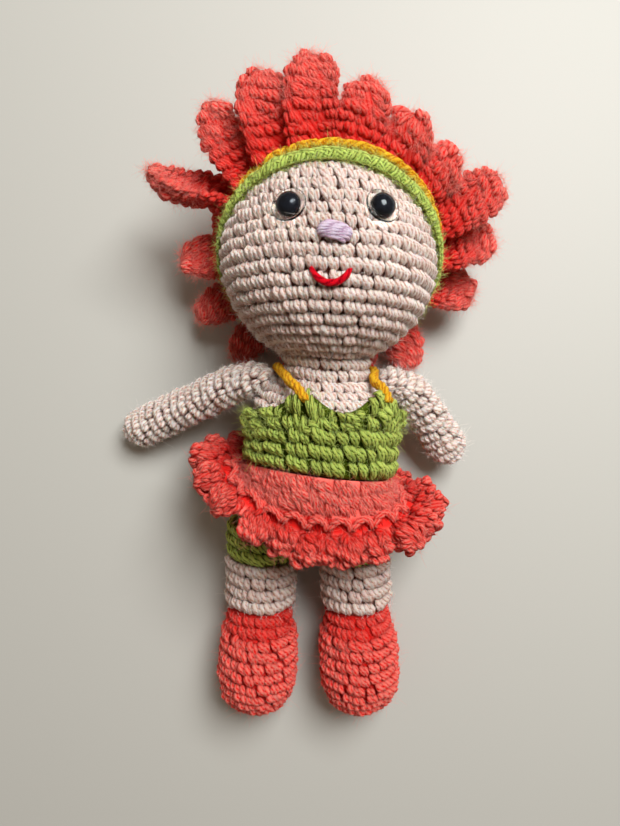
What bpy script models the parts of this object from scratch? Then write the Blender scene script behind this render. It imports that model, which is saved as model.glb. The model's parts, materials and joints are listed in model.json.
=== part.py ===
"""Crocheted doll on its back: head with safety eyes and a petal bonnet, bodice, frilled skirt and boots.

Metres, +Z up. The doll looks along +Z, its head lies towards +Y, and its flat back stands on Z = 0.
Left and right are as seen from the front. Every place is worked out from the waist or the head's centre.
"""

import math

import bpy
from mathutils import Matrix, Vector

# Fabric and fits
GAP = 0.0003
FABRIC = 0.0030
FILL_GAP = 0.0008
TORSO_FILL_GAP = 0.0014
REST_CUT = 0.0005
OVERRUN = 0.0040
SLAB_SIDE = 0.600

# Waist: the middle of the doll's outline is the frame's origin, and the waist lies this far from it
WAIST_X = 0.0058
WAIST_Y = -0.0206
WAIST_LIFT = 0.0053
WAIST_RADIUS = 0.0268

# Torso, measured along its own line from the waist to the neck
CHEST_RADIUS = 0.0276
SHOULDER_START = 0.0215
NECK_BASE = 0.0360
NECK_TOP = 0.0520
NECK_RADIUS = 0.0170
SHOULDER_EASE_SHARE = 1.3
HIP_START = 0.0120
HIP_DEPTH = 0.0280
NECK_SIDE = 0.0024
NECK_UP = 0.0393
NECK_LIFT = 0.0059
TORSO_ROLL = math.radians(14.0)

# Head, over the waist
HEAD_RADIUS = 0.0408
HEAD_CHIN = 0.0385
HEAD_SIDE = 0.0031
HEAD_UP = 0.0784
HEAD_LEAN = math.radians(2.0)
NECK_HOLE = 0.0140
NECK_CLEARANCE = 0.0005

# Bonnet: a cap on the back of the head, its rim in a plane that leans back
RIM_LEAN = math.radians(45.0)
RIM_ROLL = math.radians(-5.0)
CAP_THICKNESS = 0.0030
CAP_FIT = 0.0009
BAND_WIDTH = 0.0066
BAND_THICKNESS = 0.0028
ROUND_WIDTH = 0.0044
ROUND_THICKNESS = 0.0036
BAND_TURN = math.radians(3.0)
# The cap's brim stands behind the petals: how far out, how far behind their middle, and its thickness
BRIM_REACH = 0.0085
BRIM_BACK = 0.0027
BRIM_THICKNESS = 0.0022
BRIM_EDGE = 0.0012

# Petals of the bonnet
PETAL_LENGTH = 0.0360
PETAL_WIDTH = 0.0185
PETAL_THICKNESS = 0.0046
PETAL_CUP = 0.0054
PETAL_TURN = math.radians(21.0)
PETAL_SEAT = 0.0012
PETAL_LEAD_SHARE = 0.33
PETAL_BEND_SHARE = 0.6
PETAL_TAPER_SHARE = 0.3
# Along a petal: place and width
PETAL_OUTLINE_SHARES = ((0.0, 0.70), (0.18, 0.78), (0.42, 0.96), (0.66, 1.0), (0.88, 0.90), (1.0, 0.46))
# Each petal: place round the rim in degrees, width, cup, reach of its tip, bow, and the way its cup faces
PETAL_SHARES = (
    (-72.0, 0.86, 1.2, (-0.90, 0.38, 0.22), (-0.22, -0.22, -0.04), (0.25, 0.65, 0.70)),
    (-52.0, 0.84, 1.0, (-0.35, 0.76, 0.14), (-0.18, 0.00, 0.06), (0.10, -0.30, 1.00)),
    (-33.0, 0.98, 1.0, (-0.12, 0.85, 0.08), (-0.10, 0.02, 0.10), (0.00, -0.30, 1.00)),
    (-13.0, 1.00, 1.0, (0.02, 0.91, 0.02), (-0.06, 0.04, 0.10), (0.00, -0.30, 1.00)),
    (8.0, 1.02, -0.6, (0.22, 0.66, 0.01), (0.00, 0.06, 0.14), (0.20, 0.10, 1.00)),
    (29.0, 1.02, -0.6, (0.33, 0.42, 0.05), (0.02, 0.06, 0.14), (0.20, 0.10, 1.00)),
    (49.0, 0.98, -0.6, (0.47, 0.31, -0.00), (0.00, 0.06, 0.10), (0.20, 0.10, 1.00)),
    (69.0, 1.02, 0.5, (0.82, 0.41, -0.04), (0.06, 0.00, 0.14), (-0.20, -0.40, 1.00)),
    (89.0, 0.98, 0.8, (0.79, 0.17, -0.16), (0.04, 0.02, 0.04), (-0.30, 0.00, 1.00)),
    (111.5, 0.98, 0.8, (0.73, -0.14, -0.16), (0.04, 0.02, 0.02), (-0.30, 0.20, 1.00)),
    (139.0, 0.90, 0.4, (0.31, -0.74, -0.07), (0.10, 0.02, 0.00), (0.00, 0.00, 1.00)),
    (158.0, 0.70, 0.4, (0.10, -0.66, 0.00), (0.00, 0.00, 0.00), (0.00, 0.00, 1.00)),
    (176.0, 0.70, 0.4, (0.00, -0.66, 0.00), (0.00, 0.00, 0.00), (0.00, 0.00, 1.00)),
    (194.0, 0.70, 0.4, (-0.10, -0.66, 0.00), (0.00, 0.00, 0.00), (0.00, 0.00, 1.00)),
    (209.0, 0.86, 0.5, (-0.56, -0.63, 0.03), (-0.06, 0.02, 0.00), (0.00, 0.00, 1.00)),
    (230.0, 0.92, 0.8, (-0.72, -0.32, -0.02), (-0.02, 0.00, 0.02), (0.20, 0.20, 1.00)),
    (253.0, 0.96, 0.8, (-0.67, 0.01, -0.02), (-0.02, 0.02, 0.04), (0.20, 0.20, 1.00)),
)

# Safety eyes: a clear domed disc, a black pupil with its post behind it, and a washer inside the head
EYE_RADIUS = 0.0060
EYE_RIM = 0.0012
EYE_DOME = 0.0034
PUPIL_RADIUS = 0.0044
PUPIL_DEPTH = 0.0014
POST_RADIUS = 0.0015
POST_LENGTH = 0.0120
POST_HOLE = 0.0020
WASHER_RADIUS = 0.0055
WASHER_THICKNESS = 0.0015
WASHER_FIT = 0.0015
EYE_RISE = math.radians(15.0)
EYE_SPREAD = math.radians(22.5)
EYES_TURN = math.radians(2.1)

# Nose and mouth: stitched on with yarn
NOSE_WIDTH = 0.0116
NOSE_HEIGHT = 0.0066
NOSE_THICKNESS = 0.0030
NOSE_TURN = math.radians(0.8)
NOSE_RISE = math.radians(2.5)
NOSE_TILT = math.radians(-6.0)
NOSE_SHARES = ((0.0, 0.90), (0.35, 1.0), (0.75, 0.78), (1.0, 0.34))
MOUTH_TURN = math.radians(-0.4)
MOUTH_RISE = math.radians(-12.8)
MOUTH_DROP = math.radians(7.0)
MOUTH_SPREAD = math.radians(9.8)
MOUTH_RADIUS = 0.0011

# Bodice and halter strap, heights over the waist
BODICE_THICKNESS = 0.0030
BODICE_FIT = 0.0013
BODICE_DROP = 0.0030
BODICE_TOP = 0.0220
BODICE_PEAK = 0.0052
BODICE_NOTCH = 0.0015
PEAK_TURN = math.radians(30.0)
PEAK_SPREAD = math.radians(17.0)
STRAP_RADIUS = 0.0018
# Turn from the front in degrees and height as a share of the neck's
STRAP_SHARES = (
    (28.0, 0.80),
    (40.0, 0.88),
    (60.0, 0.99),
    (84.0, 1.095),
    (115.0, 1.07),
    (150.0, 0.99),
    (180.0, 0.96),
)

# Skirt: a band round the waist that flares into a frill of bobbles
SKIRT_THICKNESS = 0.0030
SKIRT_FIT = 0.0009
SKIRT_BAND = 0.0045
SKIRT_REACH = 0.0540
SKIRT_DROP = 0.0265
SKIRT_LOBES = 18
LOBE_DEPTH = 0.0024
LOBE_SWELL = 0.0016
# Turn from the front in degrees, reach of the hem from the torso's line, and drop below the band
HEM_SHARES = (
    (-180.0, 0.60, 0.62),
    (-150.0, 0.74, 0.16),
    (-120.0, 1.0, -0.38),
    (-90.0, 1.02, -0.20),
    (-60.0, 0.88, 0.32),
    (-30.0, 0.64, 0.82),
    (0.0, 0.50, 1.0),
    (30.0, 0.62, 1.0),
    (60.0, 0.84, 0.84),
    (90.0, 0.98, 0.46),
    (120.0, 0.92, 0.14),
    (150.0, 0.72, 0.36),
    (180.0, 0.60, 0.62),
)

# Legs, each a line from the hip towards the boot; the hip balls are measured from the waist
HIP_BALL = 0.0152
SOCKET_FIT = 0.0009
HIP_SIDE = 0.0194
HIP_MIDDLE = -0.0048
HIP_DOWN = 0.0310
HIP_Z = 0.0232
LEG_RADIUS = 0.0144
LEG_FOOT_RADIUS = 0.0142
LEG_SPLAY = math.radians(2.6)
PANTS_LEG = 0.0100
LEG_LENGTH = 0.0215
BOOT_LENGTH = 0.0490
BOOT_RADIUS = 0.0158
BOOT_TOE = 0.0052
HIP_LIFT = math.radians(25.0)
# Boot rings: place along the boot, half width, half depth, and lift of the toe, as shares
BOOT_SHARES = (
    (0.0, 0.90, 0.90, 0.0),
    (0.16, 0.97, 0.98, 0.12),
    (0.34, 1.03, 1.08, 0.42),
    (0.52, 1.05, 1.14, 0.74),
    (0.68, 1.01, 1.10, 0.84),
    (0.82, 0.88, 0.92, 0.62),
    (0.92, 0.64, 0.64, 0.30),
    (0.98, 0.34, 0.34, 0.10),
    (1.0, 0.10, 0.10, 0.04),
)
BOOT_FILL_SHARES = ((0.62, 0.90), (0.80, 0.62))

# Arms, each a tube from the shoulder ball to the hand
ARM_RADIUS = 0.0078
SHOULDER_BALL = 0.0058
ARM_LENGTH = 0.0700
# Along the arm, its thickness as a share of the arm's radius
ARM_THICKNESS_SHARES = ((0.0, 0.76), (0.14, 0.80), (0.34, 0.92), (0.6, 0.98), (0.82, 1.04), (1.0, 1.04))
# Points of each arm's line from its shoulder, in X, Y and Z, as shares of the arm's length
LEFT_ARM_SHARES = (
    (0.0, 0.0, 0.0),
    (-0.12, -0.01, -0.06),
    (-0.34, -0.10, -0.21),
    (-0.58, -0.20, -0.34),
    (-0.77, -0.28, -0.42),
)
RIGHT_ARM_SHARES = (
    (0.0, 0.0, 0.0),
    (0.10, -0.03, -0.03),
    (0.20, -0.13, -0.10),
    (0.30, -0.26, -0.17),
    (0.38, -0.37, -0.21),
)
DOME_TURNS = (math.radians(80.0), math.radians(52.0), math.radians(26.0))
# Shoulder balls from the neck's middle along X, over the waist along Y, and over the table
SHOULDER_PLACES = {"left": (-0.0268, 0.0337, 0.0395), "right": (0.0264, 0.0328, 0.0300)}

# Facets
HEAD_SIDES = 26
HEAD_ROWS = 12
BRIM_ROWS = 2
TORSO_SIDES = 24
LIMB_SIDES = 12
ARM_SIDES = 10
SMALL_SIDES = 16
RING_SIDES = 28
CORD_SIDES = 6
BODICE_SIDES = 30
FORM_SIDES = 48
PETAL_SIDES = 8
PETAL_ROWS = 7
EYE_ROWS = 4
MOUTH_ROWS = 10
NECK_ROWS = 8
CHEST_ROWS = 2
HIP_ROWS = 6
FILL_ROWS = 10
BODICE_ROWS = 6
STRAP_ROWS = 15
LOBE_FACETS = 3
FLARE_ROWS = 5
CUFF_ROWS = 5
ARM_ROWS = 8

FRONT = Vector((0.0, 0.0, 1.0))
TOP = Vector((0.0, 1.0, 0.0))
HALF_TURN = math.pi
QUARTER_TURN = math.pi / 2.0
WAIST_Z = WAIST_RADIUS + WAIST_LIFT
WAIST = Vector((WAIST_X, WAIST_Y, WAIST_Z))
NECK = WAIST + Vector((NECK_SIDE, NECK_UP, NECK_LIFT))
CAP_RADIUS = HEAD_RADIUS + CAP_FIT + CAP_THICKNESS
HEAD = Vector((WAIST_X + HEAD_SIDE, WAIST_Y + HEAD_UP, CAP_RADIUS - REST_CUT))


def clear_scene():
    for obj in list(bpy.data.objects):
        bpy.data.objects.remove(obj, do_unlink=True)


def new_collection(name):
    collection = bpy.data.collections.new(name)
    bpy.context.scene.collection.children.link(collection)
    return collection


clear_scene()
DOLL = new_collection("crocheted_doll")
CUTTERS = new_collection("cutters")


def material(name, colour, roughness, transmission=0.0):
    made = bpy.data.materials.new(name)
    made.use_nodes = True
    shader = made.node_tree.nodes["Principled BSDF"]
    shader.inputs["Base Color"].default_value = (*colour, 1.0)
    shader.inputs["Roughness"].default_value = roughness
    shader.inputs["Metallic"].default_value = 0.0
    shader.inputs["Transmission Weight"].default_value = transmission
    return made


SKIN = material("skin_yarn", (0.62, 0.42, 0.33), 0.9)
CORAL = material("coral_yarn", (0.86, 0.10, 0.07), 0.9)
GREEN = material("green_yarn", (0.27, 0.38, 0.05), 0.9)
YELLOW = material("yellow_yarn", (0.90, 0.46, 0.02), 0.9)
LILAC = material("lilac_yarn", (0.68, 0.46, 0.62), 0.85)
RED = material("red_yarn", (0.68, 0.01, 0.02), 0.85)
FILL = material("polyester_fill", (0.85, 0.85, 0.83), 0.95)
CLEAR = material("clear_plastic", (0.92, 0.93, 0.92), 0.06, 1.0)
BLACK = material("black_plastic", (0.01, 0.01, 0.012), 0.08)
WASHER = material("washer_plastic", (0.80, 0.80, 0.78), 0.4)


def place(mesh, name, collection, look=None):
    obj = bpy.data.objects.new(name, mesh)
    collection.objects.link(obj)
    if look:
        mesh.materials.append(look)
    return obj


def frame_at(origin, up, front=FRONT):
    """A frame whose local Z runs along up and whose local Y is as near to front as it can be."""
    z = up.normalized()
    x = front.cross(z).normalized()
    y = z.cross(x)
    turn = Matrix((x, y, z)).transposed().to_4x4()
    return Matrix.Translation(origin) @ turn


def turned(name, profile, frame, sides, look=None, collection=DOLL):
    """A profile of (radius, height) points, from the top down its outer side, turned round local Z."""
    mesh = bpy.data.meshes.new(name)
    points = [(radius, 0.0, height) for radius, height in profile]
    mesh.from_pydata(points, [(i, i + 1) for i in range(len(points) - 1)], [])
    obj = place(mesh, name, collection, look)
    obj.matrix_world = frame
    screw = obj.modifiers.new("turn", "SCREW")
    screw.axis = "Z"
    screw.angle = 2.0 * math.pi
    screw.steps = sides
    screw.render_steps = sides
    screw.use_merge_vertices = True
    screw.merge_threshold = 0.00001
    screw.use_smooth_shade = True
    return obj


def walled(obj, thickness, offset=-1.0):
    """Gives an open surface a wall, on its inner side unless the offset says otherwise."""
    wall = obj.modifiers.new("wall", "SOLIDIFY")
    wall.thickness = thickness
    wall.offset = offset
    wall.use_even_offset = offset < 0.0
    return obj


def cut(obj, cutter):
    boolean = obj.modifiers.new("cut_" + cutter.name, "BOOLEAN")
    boolean.operation = "DIFFERENCE"
    boolean.solver = "EXACT"
    boolean.object = cutter
    return obj


def as_cutter(obj):
    obj.hide_render = True
    obj.display_type = "WIRE"
    return obj


def arc(radius, height, first, last, count):
    """Profile points on an ellipse, from one angle off its top to another; both poles lie on the axis."""
    points = []
    for i in range(count + 1):
        turn = first + (last - first) * i / count
        on_axis = turn == 0.0 or turn == HALF_TURN
        points.append((0.0 if on_axis else radius * math.sin(turn), height * math.cos(turn)))
    return points


def ball_form(name, radius, frame, sides):
    """A ball to cut with."""
    profile = arc(radius, radius, 0.0, HALF_TURN, sides // 2)
    return as_cutter(turned(name, profile, frame, sides, collection=CUTTERS))


def rod_form(name, radius, top, bottom, frame):
    """A rod along local Z to cut with."""
    profile = [(0.0, top), (radius, top), (radius, bottom), (0.0, bottom)]
    return as_cutter(turned(name, profile, frame, SMALL_SIDES, collection=CUTTERS))


def between(shares, at):
    """Smooth values at a place in a table of (place, value, ...) rows."""
    for low, high in zip(shares, shares[1:]):
        if at <= high[0]:
            part = max(0.0, min(1.0, (at - low[0]) / (high[0] - low[0])))
            ease = part * part * (3.0 - 2.0 * part)
            return [a + (b - a) * ease for a, b in zip(low[1:], high[1:])]
    return list(shares[-1][1:])


def steps_between(low, high, count):
    return [low + (high - low) * i / count for i in range(count + 1)]


def lofted(name, rings, look, closed_start=True, closed_end=True):
    """A surface through rings of like count, which turn to the right seen along the way they go."""
    count = len(rings[0])
    points = [point for ring in rings for point in ring]
    faces = []
    for row in range(len(rings) - 1):
        for k in range(count):
            after = (k + 1) % count
            low, high = row * count, (row + 1) * count
            faces.append((low + k, low + after, high + after, high + k))
    if closed_start:
        faces.append(tuple(reversed(range(count))))
    if closed_end:
        faces.append(tuple(range(len(points) - count, len(points))))
    mesh = bpy.data.meshes.new(name)
    mesh.from_pydata(points, [], faces)
    mesh.shade_smooth()
    return place(mesh, name, DOLL, look)


def tube_rings(line, radii, sides):
    """Round rings along a line, each turned as little as possible from the one before it."""
    rings = []
    side = None
    for i, point in enumerate(line):
        ahead = (line[min(i + 1, len(line) - 1)] - line[max(i - 1, 0)]).normalized()
        side = ahead.cross(FRONT) if side is None else side - ahead * side.dot(ahead)
        side.normalize()
        other = ahead.cross(side)
        ring = []
        for k in range(sides):
            a = 2.0 * math.pi * k / sides
            ring.append(point + (side * math.cos(a) + other * math.sin(a)) * radii[i])
        rings.append(ring)
    return rings


def smooth_line(points, count):
    """Points along a smooth curve through hand-chosen ones."""
    ends = [points[0] * 2.0 - points[1]] + list(points) + [points[-1] * 2.0 - points[-2]]
    line = []
    for i in range(count + 1):
        at = (len(points) - 1) * i / count
        k = min(int(at), len(points) - 2)
        t = at - k
        a, b, c, d = ends[k : k + 4]
        bend = (a * 2.0 - b * 5.0 + c * 4.0 - d) * t * t + (b * 3.0 - a - c * 3.0 + d) * t**3
        line.append((b * 2.0 + (c - a) * t + bend) / 2.0)
    return line


def closed_tube(name, points, radius, look):
    """A round cord along points, with closed ends."""
    data = bpy.data.curves.new(name, "CURVE")
    data.dimensions = "3D"
    data.bevel_depth = radius
    data.bevel_resolution = 1
    data.use_fill_caps = True
    spline = data.splines.new("POLY")
    spline.points.add(len(points) - 1)
    for slot, point in zip(spline.points, points):
        slot.co = (*point, 1.0)
    data.materials.append(look)
    obj = bpy.data.objects.new(name, data)
    DOLL.objects.link(obj)
    return obj


def torso_radius(height):
    """The torso's radius at a height over the waist, along its own line."""
    if height > NECK_BASE:
        return NECK_RADIUS
    if height > SHOULDER_START:
        part = (height - SHOULDER_START) / (NECK_BASE - SHOULDER_START)
        fall = (1.0 + math.cos(HALF_TURN * part**SHOULDER_EASE_SHARE)) / 2.0
        return NECK_RADIUS + (CHEST_RADIUS - NECK_RADIUS) * fall
    if height > 0.0:
        return WAIST_RADIUS + (CHEST_RADIUS - WAIST_RADIUS) * height / SHOULDER_START
    if height > -HIP_START:
        return WAIST_RADIUS
    part = (-HIP_START - height) / (HIP_DEPTH - HIP_START)
    return WAIST_RADIUS * math.sqrt(max(0.0, 1.0 - part * part))


TORSO_LINE = (NECK - WAIST).normalized()
TORSO_FRONT = Matrix.Rotation(TORSO_ROLL, 3, TORSO_LINE) @ FRONT
TORSO_FRAME = frame_at(WAIST, TORSO_LINE, -TORSO_FRONT)
HEAD_LINE = Vector((math.sin(HEAD_LEAN), math.cos(HEAD_LEAN), 0.0))
HEAD_FRAME = frame_at(HEAD, HEAD_LINE, -FRONT)


def off_torso(height, outwards):
    """Radius and height of a point off the torso's outline, square to it."""
    tilt = math.atan((torso_radius(height + GAP) - torso_radius(height - GAP)) / (GAP + GAP))
    return torso_radius(height) + outwards * math.cos(tilt), height - outwards * math.sin(tilt)


def on_torso(turn, height, outwards=0.0):
    """A point off the torso's surface, square to it: turn is from its front, towards the right."""
    radius, height = off_torso(height, outwards)
    return TORSO_FRAME @ Vector((radius * math.sin(turn), -radius * math.cos(turn), height))


def floor_slab():
    mesh = bpy.data.meshes.new("floor_slab")
    half = SLAB_SIDE / 2.0
    corners = [(x, y, z) for x in (-half, half) for y in (-half, half) for z in (-half, 0.0)]
    faces = [(0, 1, 3, 2), (4, 6, 7, 5), (0, 4, 5, 1), (2, 3, 7, 6), (0, 2, 6, 4), (1, 5, 7, 3)]
    mesh.from_pydata(corners, [], faces)
    return as_cutter(place(mesh, "floor_slab", CUTTERS))


def head_profile(grow, last):
    """Crown to chin: a round upper half over a flatter lower half."""
    half = HEAD_ROWS // 2
    radius = HEAD_RADIUS + grow
    upper = arc(radius, HEAD_RADIUS + grow, 0.0, QUARTER_TURN, half)
    return upper + arc(radius, HEAD_CHIN + grow, QUARTER_TURN, last, half)[1:]


FLOOR = floor_slab()
HEAD_FORM = as_cutter(
    turned("head_form", head_profile(NECK_CLEARANCE, HALF_TURN), HEAD_FRAME, FORM_SIDES, collection=CUTTERS)
)


def on_head(side_turn, rise, outwards=0.0):
    """A point off the face and its normal: side_turn is to the right, and rise is towards the crown."""
    x = math.sin(side_turn) * math.cos(rise)
    y = math.sin(rise)
    z = math.cos(side_turn) * math.cos(rise)
    height = HEAD_RADIUS if y > 0.0 else HEAD_CHIN
    scale = 1.0 / math.sqrt((x * x + z * z) / HEAD_RADIUS**2 + y * y / height**2)
    normal = Vector((x / HEAD_RADIUS**2, y / height**2, z / HEAD_RADIUS**2)).normalized()
    return HEAD + Vector((x, y, z)) * scale + normal * outwards, normal


def build_eye(label, sign):
    """A clear disc, hollow at its back for the pupil, whose post goes through the head to the washer."""
    point, normal = on_head(EYES_TURN + sign * EYE_SPREAD, EYE_RISE, GAP)
    frame = frame_at(point, normal, TOP)
    hollow = PUPIL_RADIUS + GAP
    roof = PUPIL_DEPTH + GAP
    top = arc(EYE_RADIUS, EYE_DOME, 0.0, QUARTER_TURN, EYE_ROWS)
    lens = [(radius, EYE_RIM + height) for radius, height in top]
    lens += [(EYE_RADIUS, 0.0), (hollow, 0.0), (hollow, roof), (0.0, roof)]
    turned(f"eye_{label}_lens", lens, frame, SMALL_SIDES, CLEAR)
    pupil = [(0.0, PUPIL_DEPTH), (PUPIL_RADIUS, PUPIL_DEPTH), (PUPIL_RADIUS, 0.0), (POST_RADIUS, 0.0)]
    pupil += [(POST_RADIUS, -POST_LENGTH), (0.0, -POST_LENGTH)]
    turned(f"eye_{label}_pupil", pupil, frame, SMALL_SIDES, BLACK)
    # Inside the head, against the fabric
    top = -(GAP + FABRIC + WASHER_FIT)
    bottom = top - WASHER_THICKNESS
    hole = POST_RADIUS + GAP
    washer = [(hole, top), (WASHER_RADIUS, top), (WASHER_RADIUS, bottom), (hole, bottom), (hole, top)]
    turned(f"eye_{label}_washer", washer, frame, SMALL_SIDES, WASHER)
    hole_form = rod_form(f"post_hole_{label}", POST_HOLE, OVERRUN, -POST_LENGTH, frame)
    room_form = rod_form(f"washer_room_{label}", WASHER_RADIUS + GAP, OVERRUN, -POST_LENGTH - GAP, frame)
    return hole_form, room_form


def build_head():
    neck_edge = HALF_TURN - math.asin(NECK_HOLE / HEAD_RADIUS)
    shell = walled(turned("head_shell", head_profile(0.0, neck_edge), HEAD_FRAME, HEAD_SIDES, SKIN), FABRIC)
    fill_profile = head_profile(-FABRIC - FILL_GAP, HALF_TURN)
    fill = turned("head_stuffing", fill_profile, HEAD_FRAME, HEAD_SIDES // 2, FILL)
    for label, sign in (("left", -1.0), ("right", 1.0)):
        hole_form, room_form = build_eye(label, sign)
        cut(shell, hole_form)
        cut(fill, room_form)


def build_nose():
    """Satin stitches that make a low oval pad."""
    point, normal = on_head(NOSE_TURN, NOSE_RISE, GAP)
    frame = frame_at(point, normal, TOP) @ Matrix.Rotation(NOSE_TILT, 4, "Z")
    rings = []
    for rise, share in NOSE_SHARES:
        ring = []
        for k in range(LIMB_SIDES):
            a = 2.0 * math.pi * k / LIMB_SIDES
            x = math.cos(a) * share * NOSE_WIDTH / 2.0
            y = math.sin(a) * share * NOSE_HEIGHT / 2.0
            sink = (x * x + y * y) / (2.0 * HEAD_RADIUS)
            ring.append(frame @ Vector((x, y, rise * NOSE_THICKNESS - sink * (1.0 - rise))))
        rings.append(ring)
    lofted("nose", rings, LILAC)


def build_mouth():
    """One strand of red yarn laid in a shallow curve."""
    points = []
    for along in steps_between(-1.0, 1.0, MOUTH_ROWS):
        rise = MOUTH_RISE - MOUTH_DROP * (1.0 - along * along)
        points.append(on_head(MOUTH_TURN + along * MOUTH_SPREAD, rise, GAP + MOUTH_RADIUS)[0])
    closed_tube("mouth", points, MOUTH_RADIUS, RED)


RIM_TURN = Matrix.Rotation(RIM_ROLL, 3, "Z")
CAP_LINE = RIM_TURN @ Vector((0.0, math.sin(RIM_LEAN), -math.cos(RIM_LEAN)))
RIM_UP = RIM_TURN @ Vector((0.0, math.cos(RIM_LEAN), math.sin(RIM_LEAN)))
RIM_RIGHT = RIM_TURN @ Vector((1.0, 0.0, 0.0))
CAP_FRAME = frame_at(HEAD, CAP_LINE, RIM_UP)
BAND_SEAT = HEAD_RADIUS + GAP + BAND_THICKNESS / 2.0
ROUND_SEAT = HEAD_RADIUS + GAP + ROUND_THICKNESS / 2.0
ROUND_TURN = BAND_TURN + (BAND_WIDTH / 2.0 + ROUND_WIDTH / 2.0 + GAP) / HEAD_RADIUS
CAP_TURN = ROUND_TURN + (ROUND_WIDTH / 2.0 + GAP) / HEAD_RADIUS


def ring_profile(seat, turn, width, thickness):
    """An oval cord's section, seated on the head at an angle from the rim's plane."""
    points = []
    for i in range(CORD_SIDES + 1):
        a = QUARTER_TURN - 2.0 * math.pi * (i % CORD_SIDES) / CORD_SIDES
        out = seat + thickness / 2.0 * math.cos(a)
        along = width / 2.0 * math.sin(a)
        radius = out * math.cos(turn) - along * math.sin(turn)
        points.append((radius, out * math.sin(turn) + along * math.cos(turn)))
    return points


def brim_section(grow):
    """The brim's section in the cap's frame: its root and edge at the back, then at the front."""
    out = Vector((math.cos(PETAL_TURN), math.sin(PETAL_TURN)))
    back = Vector((-math.sin(PETAL_TURN), math.cos(PETAL_TURN)))
    edge = CAP_RADIUS + BRIM_REACH + grow
    section = []
    for radius, rise in (
        (None, BRIM_THICKNESS + grow),
        (edge, BRIM_EDGE + grow),
        (edge, -grow),
        (None, -grow),
    ):
        behind = BRIM_BACK + rise
        point = out * (radius or math.sqrt(CAP_RADIUS**2 - behind**2)) + back * behind
        section.append((point.x, point.y))
    return section


def build_bonnet():
    """A green band and a yellow round frame the face, and a brimmed cap covers the back of the head."""
    band = ring_profile(BAND_SEAT, BAND_TURN, BAND_WIDTH, BAND_THICKNESS)
    turned("bonnet_band", band, CAP_FRAME, RING_SIDES, GREEN)
    yellow = ring_profile(ROUND_SEAT, ROUND_TURN, ROUND_WIDTH, ROUND_THICKNESS)
    turned("bonnet_yellow_round", yellow, CAP_FRAME, RING_SIDES, YELLOW)
    brim = brim_section(0.0)
    behind = math.atan2(*brim[0])
    before = math.atan2(*brim[-1])
    rim = QUARTER_TURN - CAP_TURN
    inside = CAP_RADIUS - CAP_THICKNESS
    profile = arc(CAP_RADIUS, CAP_RADIUS, 0.0, behind, HEAD_ROWS // 2) + brim[1:-1]
    profile += arc(CAP_RADIUS, CAP_RADIUS, before, rim, BRIM_ROWS)
    profile += reversed(arc(inside, inside, 0.0, rim, HEAD_ROWS // 2))
    cut(turned("bonnet_cap", profile, CAP_FRAME, RING_SIDES, CORAL), FLOOR)


def rim_point(turn, back, radius):
    """A point over the cap: turn is from the rim's top to the right, and back is from the rim's plane."""
    across = RIM_RIGHT * math.sin(turn) + RIM_UP * math.cos(turn)
    return HEAD + (across * math.cos(back) + CAP_LINE * math.sin(back)) * radius


def petal_line(turn, reach, bow):
    """Points along a petal, which leaves the cap square to it and bends towards its tip."""
    base = rim_point(turn, PETAL_TURN, CAP_RADIUS - PETAL_SEAT)
    out = (base - HEAD).normalized()
    tip = base + Vector(reach) * PETAL_LENGTH
    lead = base + out * PETAL_LENGTH * PETAL_LEAD_SHARE
    bend = base + (tip - base) * PETAL_BEND_SHARE + Vector(bow) * PETAL_LENGTH
    points = []
    for i in range(PETAL_ROWS + 1):
        s = i / PETAL_ROWS
        r = 1.0 - s
        point = base * r**3 + lead * 3.0 * r * r * s + bend * 3.0 * r * s * s + tip * s**3
        point.z = max(point.z, PETAL_THICKNESS / 2.0 - REST_CUT)
        points.append(point)
    return points


def build_petals():
    """Each petal is a leaf of doubled fabric, cupped along its middle."""
    cap_form = ball_form("cap_form", CAP_RADIUS + GAP, CAP_FRAME, RING_SIDES)
    brim = brim_section(GAP)
    brim_form = as_cutter(turned("brim_form", brim + brim[:1], CAP_FRAME, RING_SIDES, collection=CUTTERS))
    for number, (turn, width, cup, reach, bow, face) in enumerate(PETAL_SHARES, 1):
        line = petal_line(math.radians(turn), reach, bow)
        rings = []
        for i, point in enumerate(line):
            s = i / PETAL_ROWS
            ahead = (line[min(i + 1, PETAL_ROWS)] - line[max(i - 1, 0)]).normalized()
            across = ahead.cross(Vector(face)).normalized()
            up = across.cross(ahead)
            share = between(PETAL_OUTLINE_SHARES, s)[0]
            half_width = share * width * PETAL_WIDTH / 2.0
            half_depth = PETAL_THICKNESS / 2.0 * (1.0 - PETAL_TAPER_SHARE * s)
            ring = []
            for k in range(PETAL_SIDES):
                a = 2.0 * math.pi * (k + 0.5) / PETAL_SIDES
                rise = half_depth * math.sin(a) + PETAL_CUP * cup * share * math.cos(a) ** 2
                ring.append(point + across * half_width * math.cos(a) + up * rise)
            rings.append(ring)
        petal = cut(cut(lofted(f"petal_{number:02d}", rings, CORAL), cap_form), brim_form)
        if min(point.z for ring in rings for point in ring) < 0.0:
            cut(petal, FLOOR)


HIPS = {
    "left": WAIST + Vector((HIP_MIDDLE - HIP_SIDE, -HIP_DOWN, HIP_Z - WAIST_Z)),
    "right": WAIST + Vector((HIP_MIDDLE + HIP_SIDE, -HIP_DOWN, HIP_Z - WAIST_Z)),
}
LEG_END = PANTS_LEG + LEG_LENGTH


def heel_slope():
    """How far the legs slope down, so that the boots lie on the table, sunk by the flat's depth."""
    slopes = []
    for along, _, deep, lift in BOOT_SHARES:
        fall = HIP_Z + REST_CUT - (deep * BOOT_RADIUS - lift * BOOT_TOE)
        slopes.append(math.asin(fall / (LEG_END + GAP + along * BOOT_LENGTH)))
    return min(slopes)


LEG_SLOPE = heel_slope()


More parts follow.
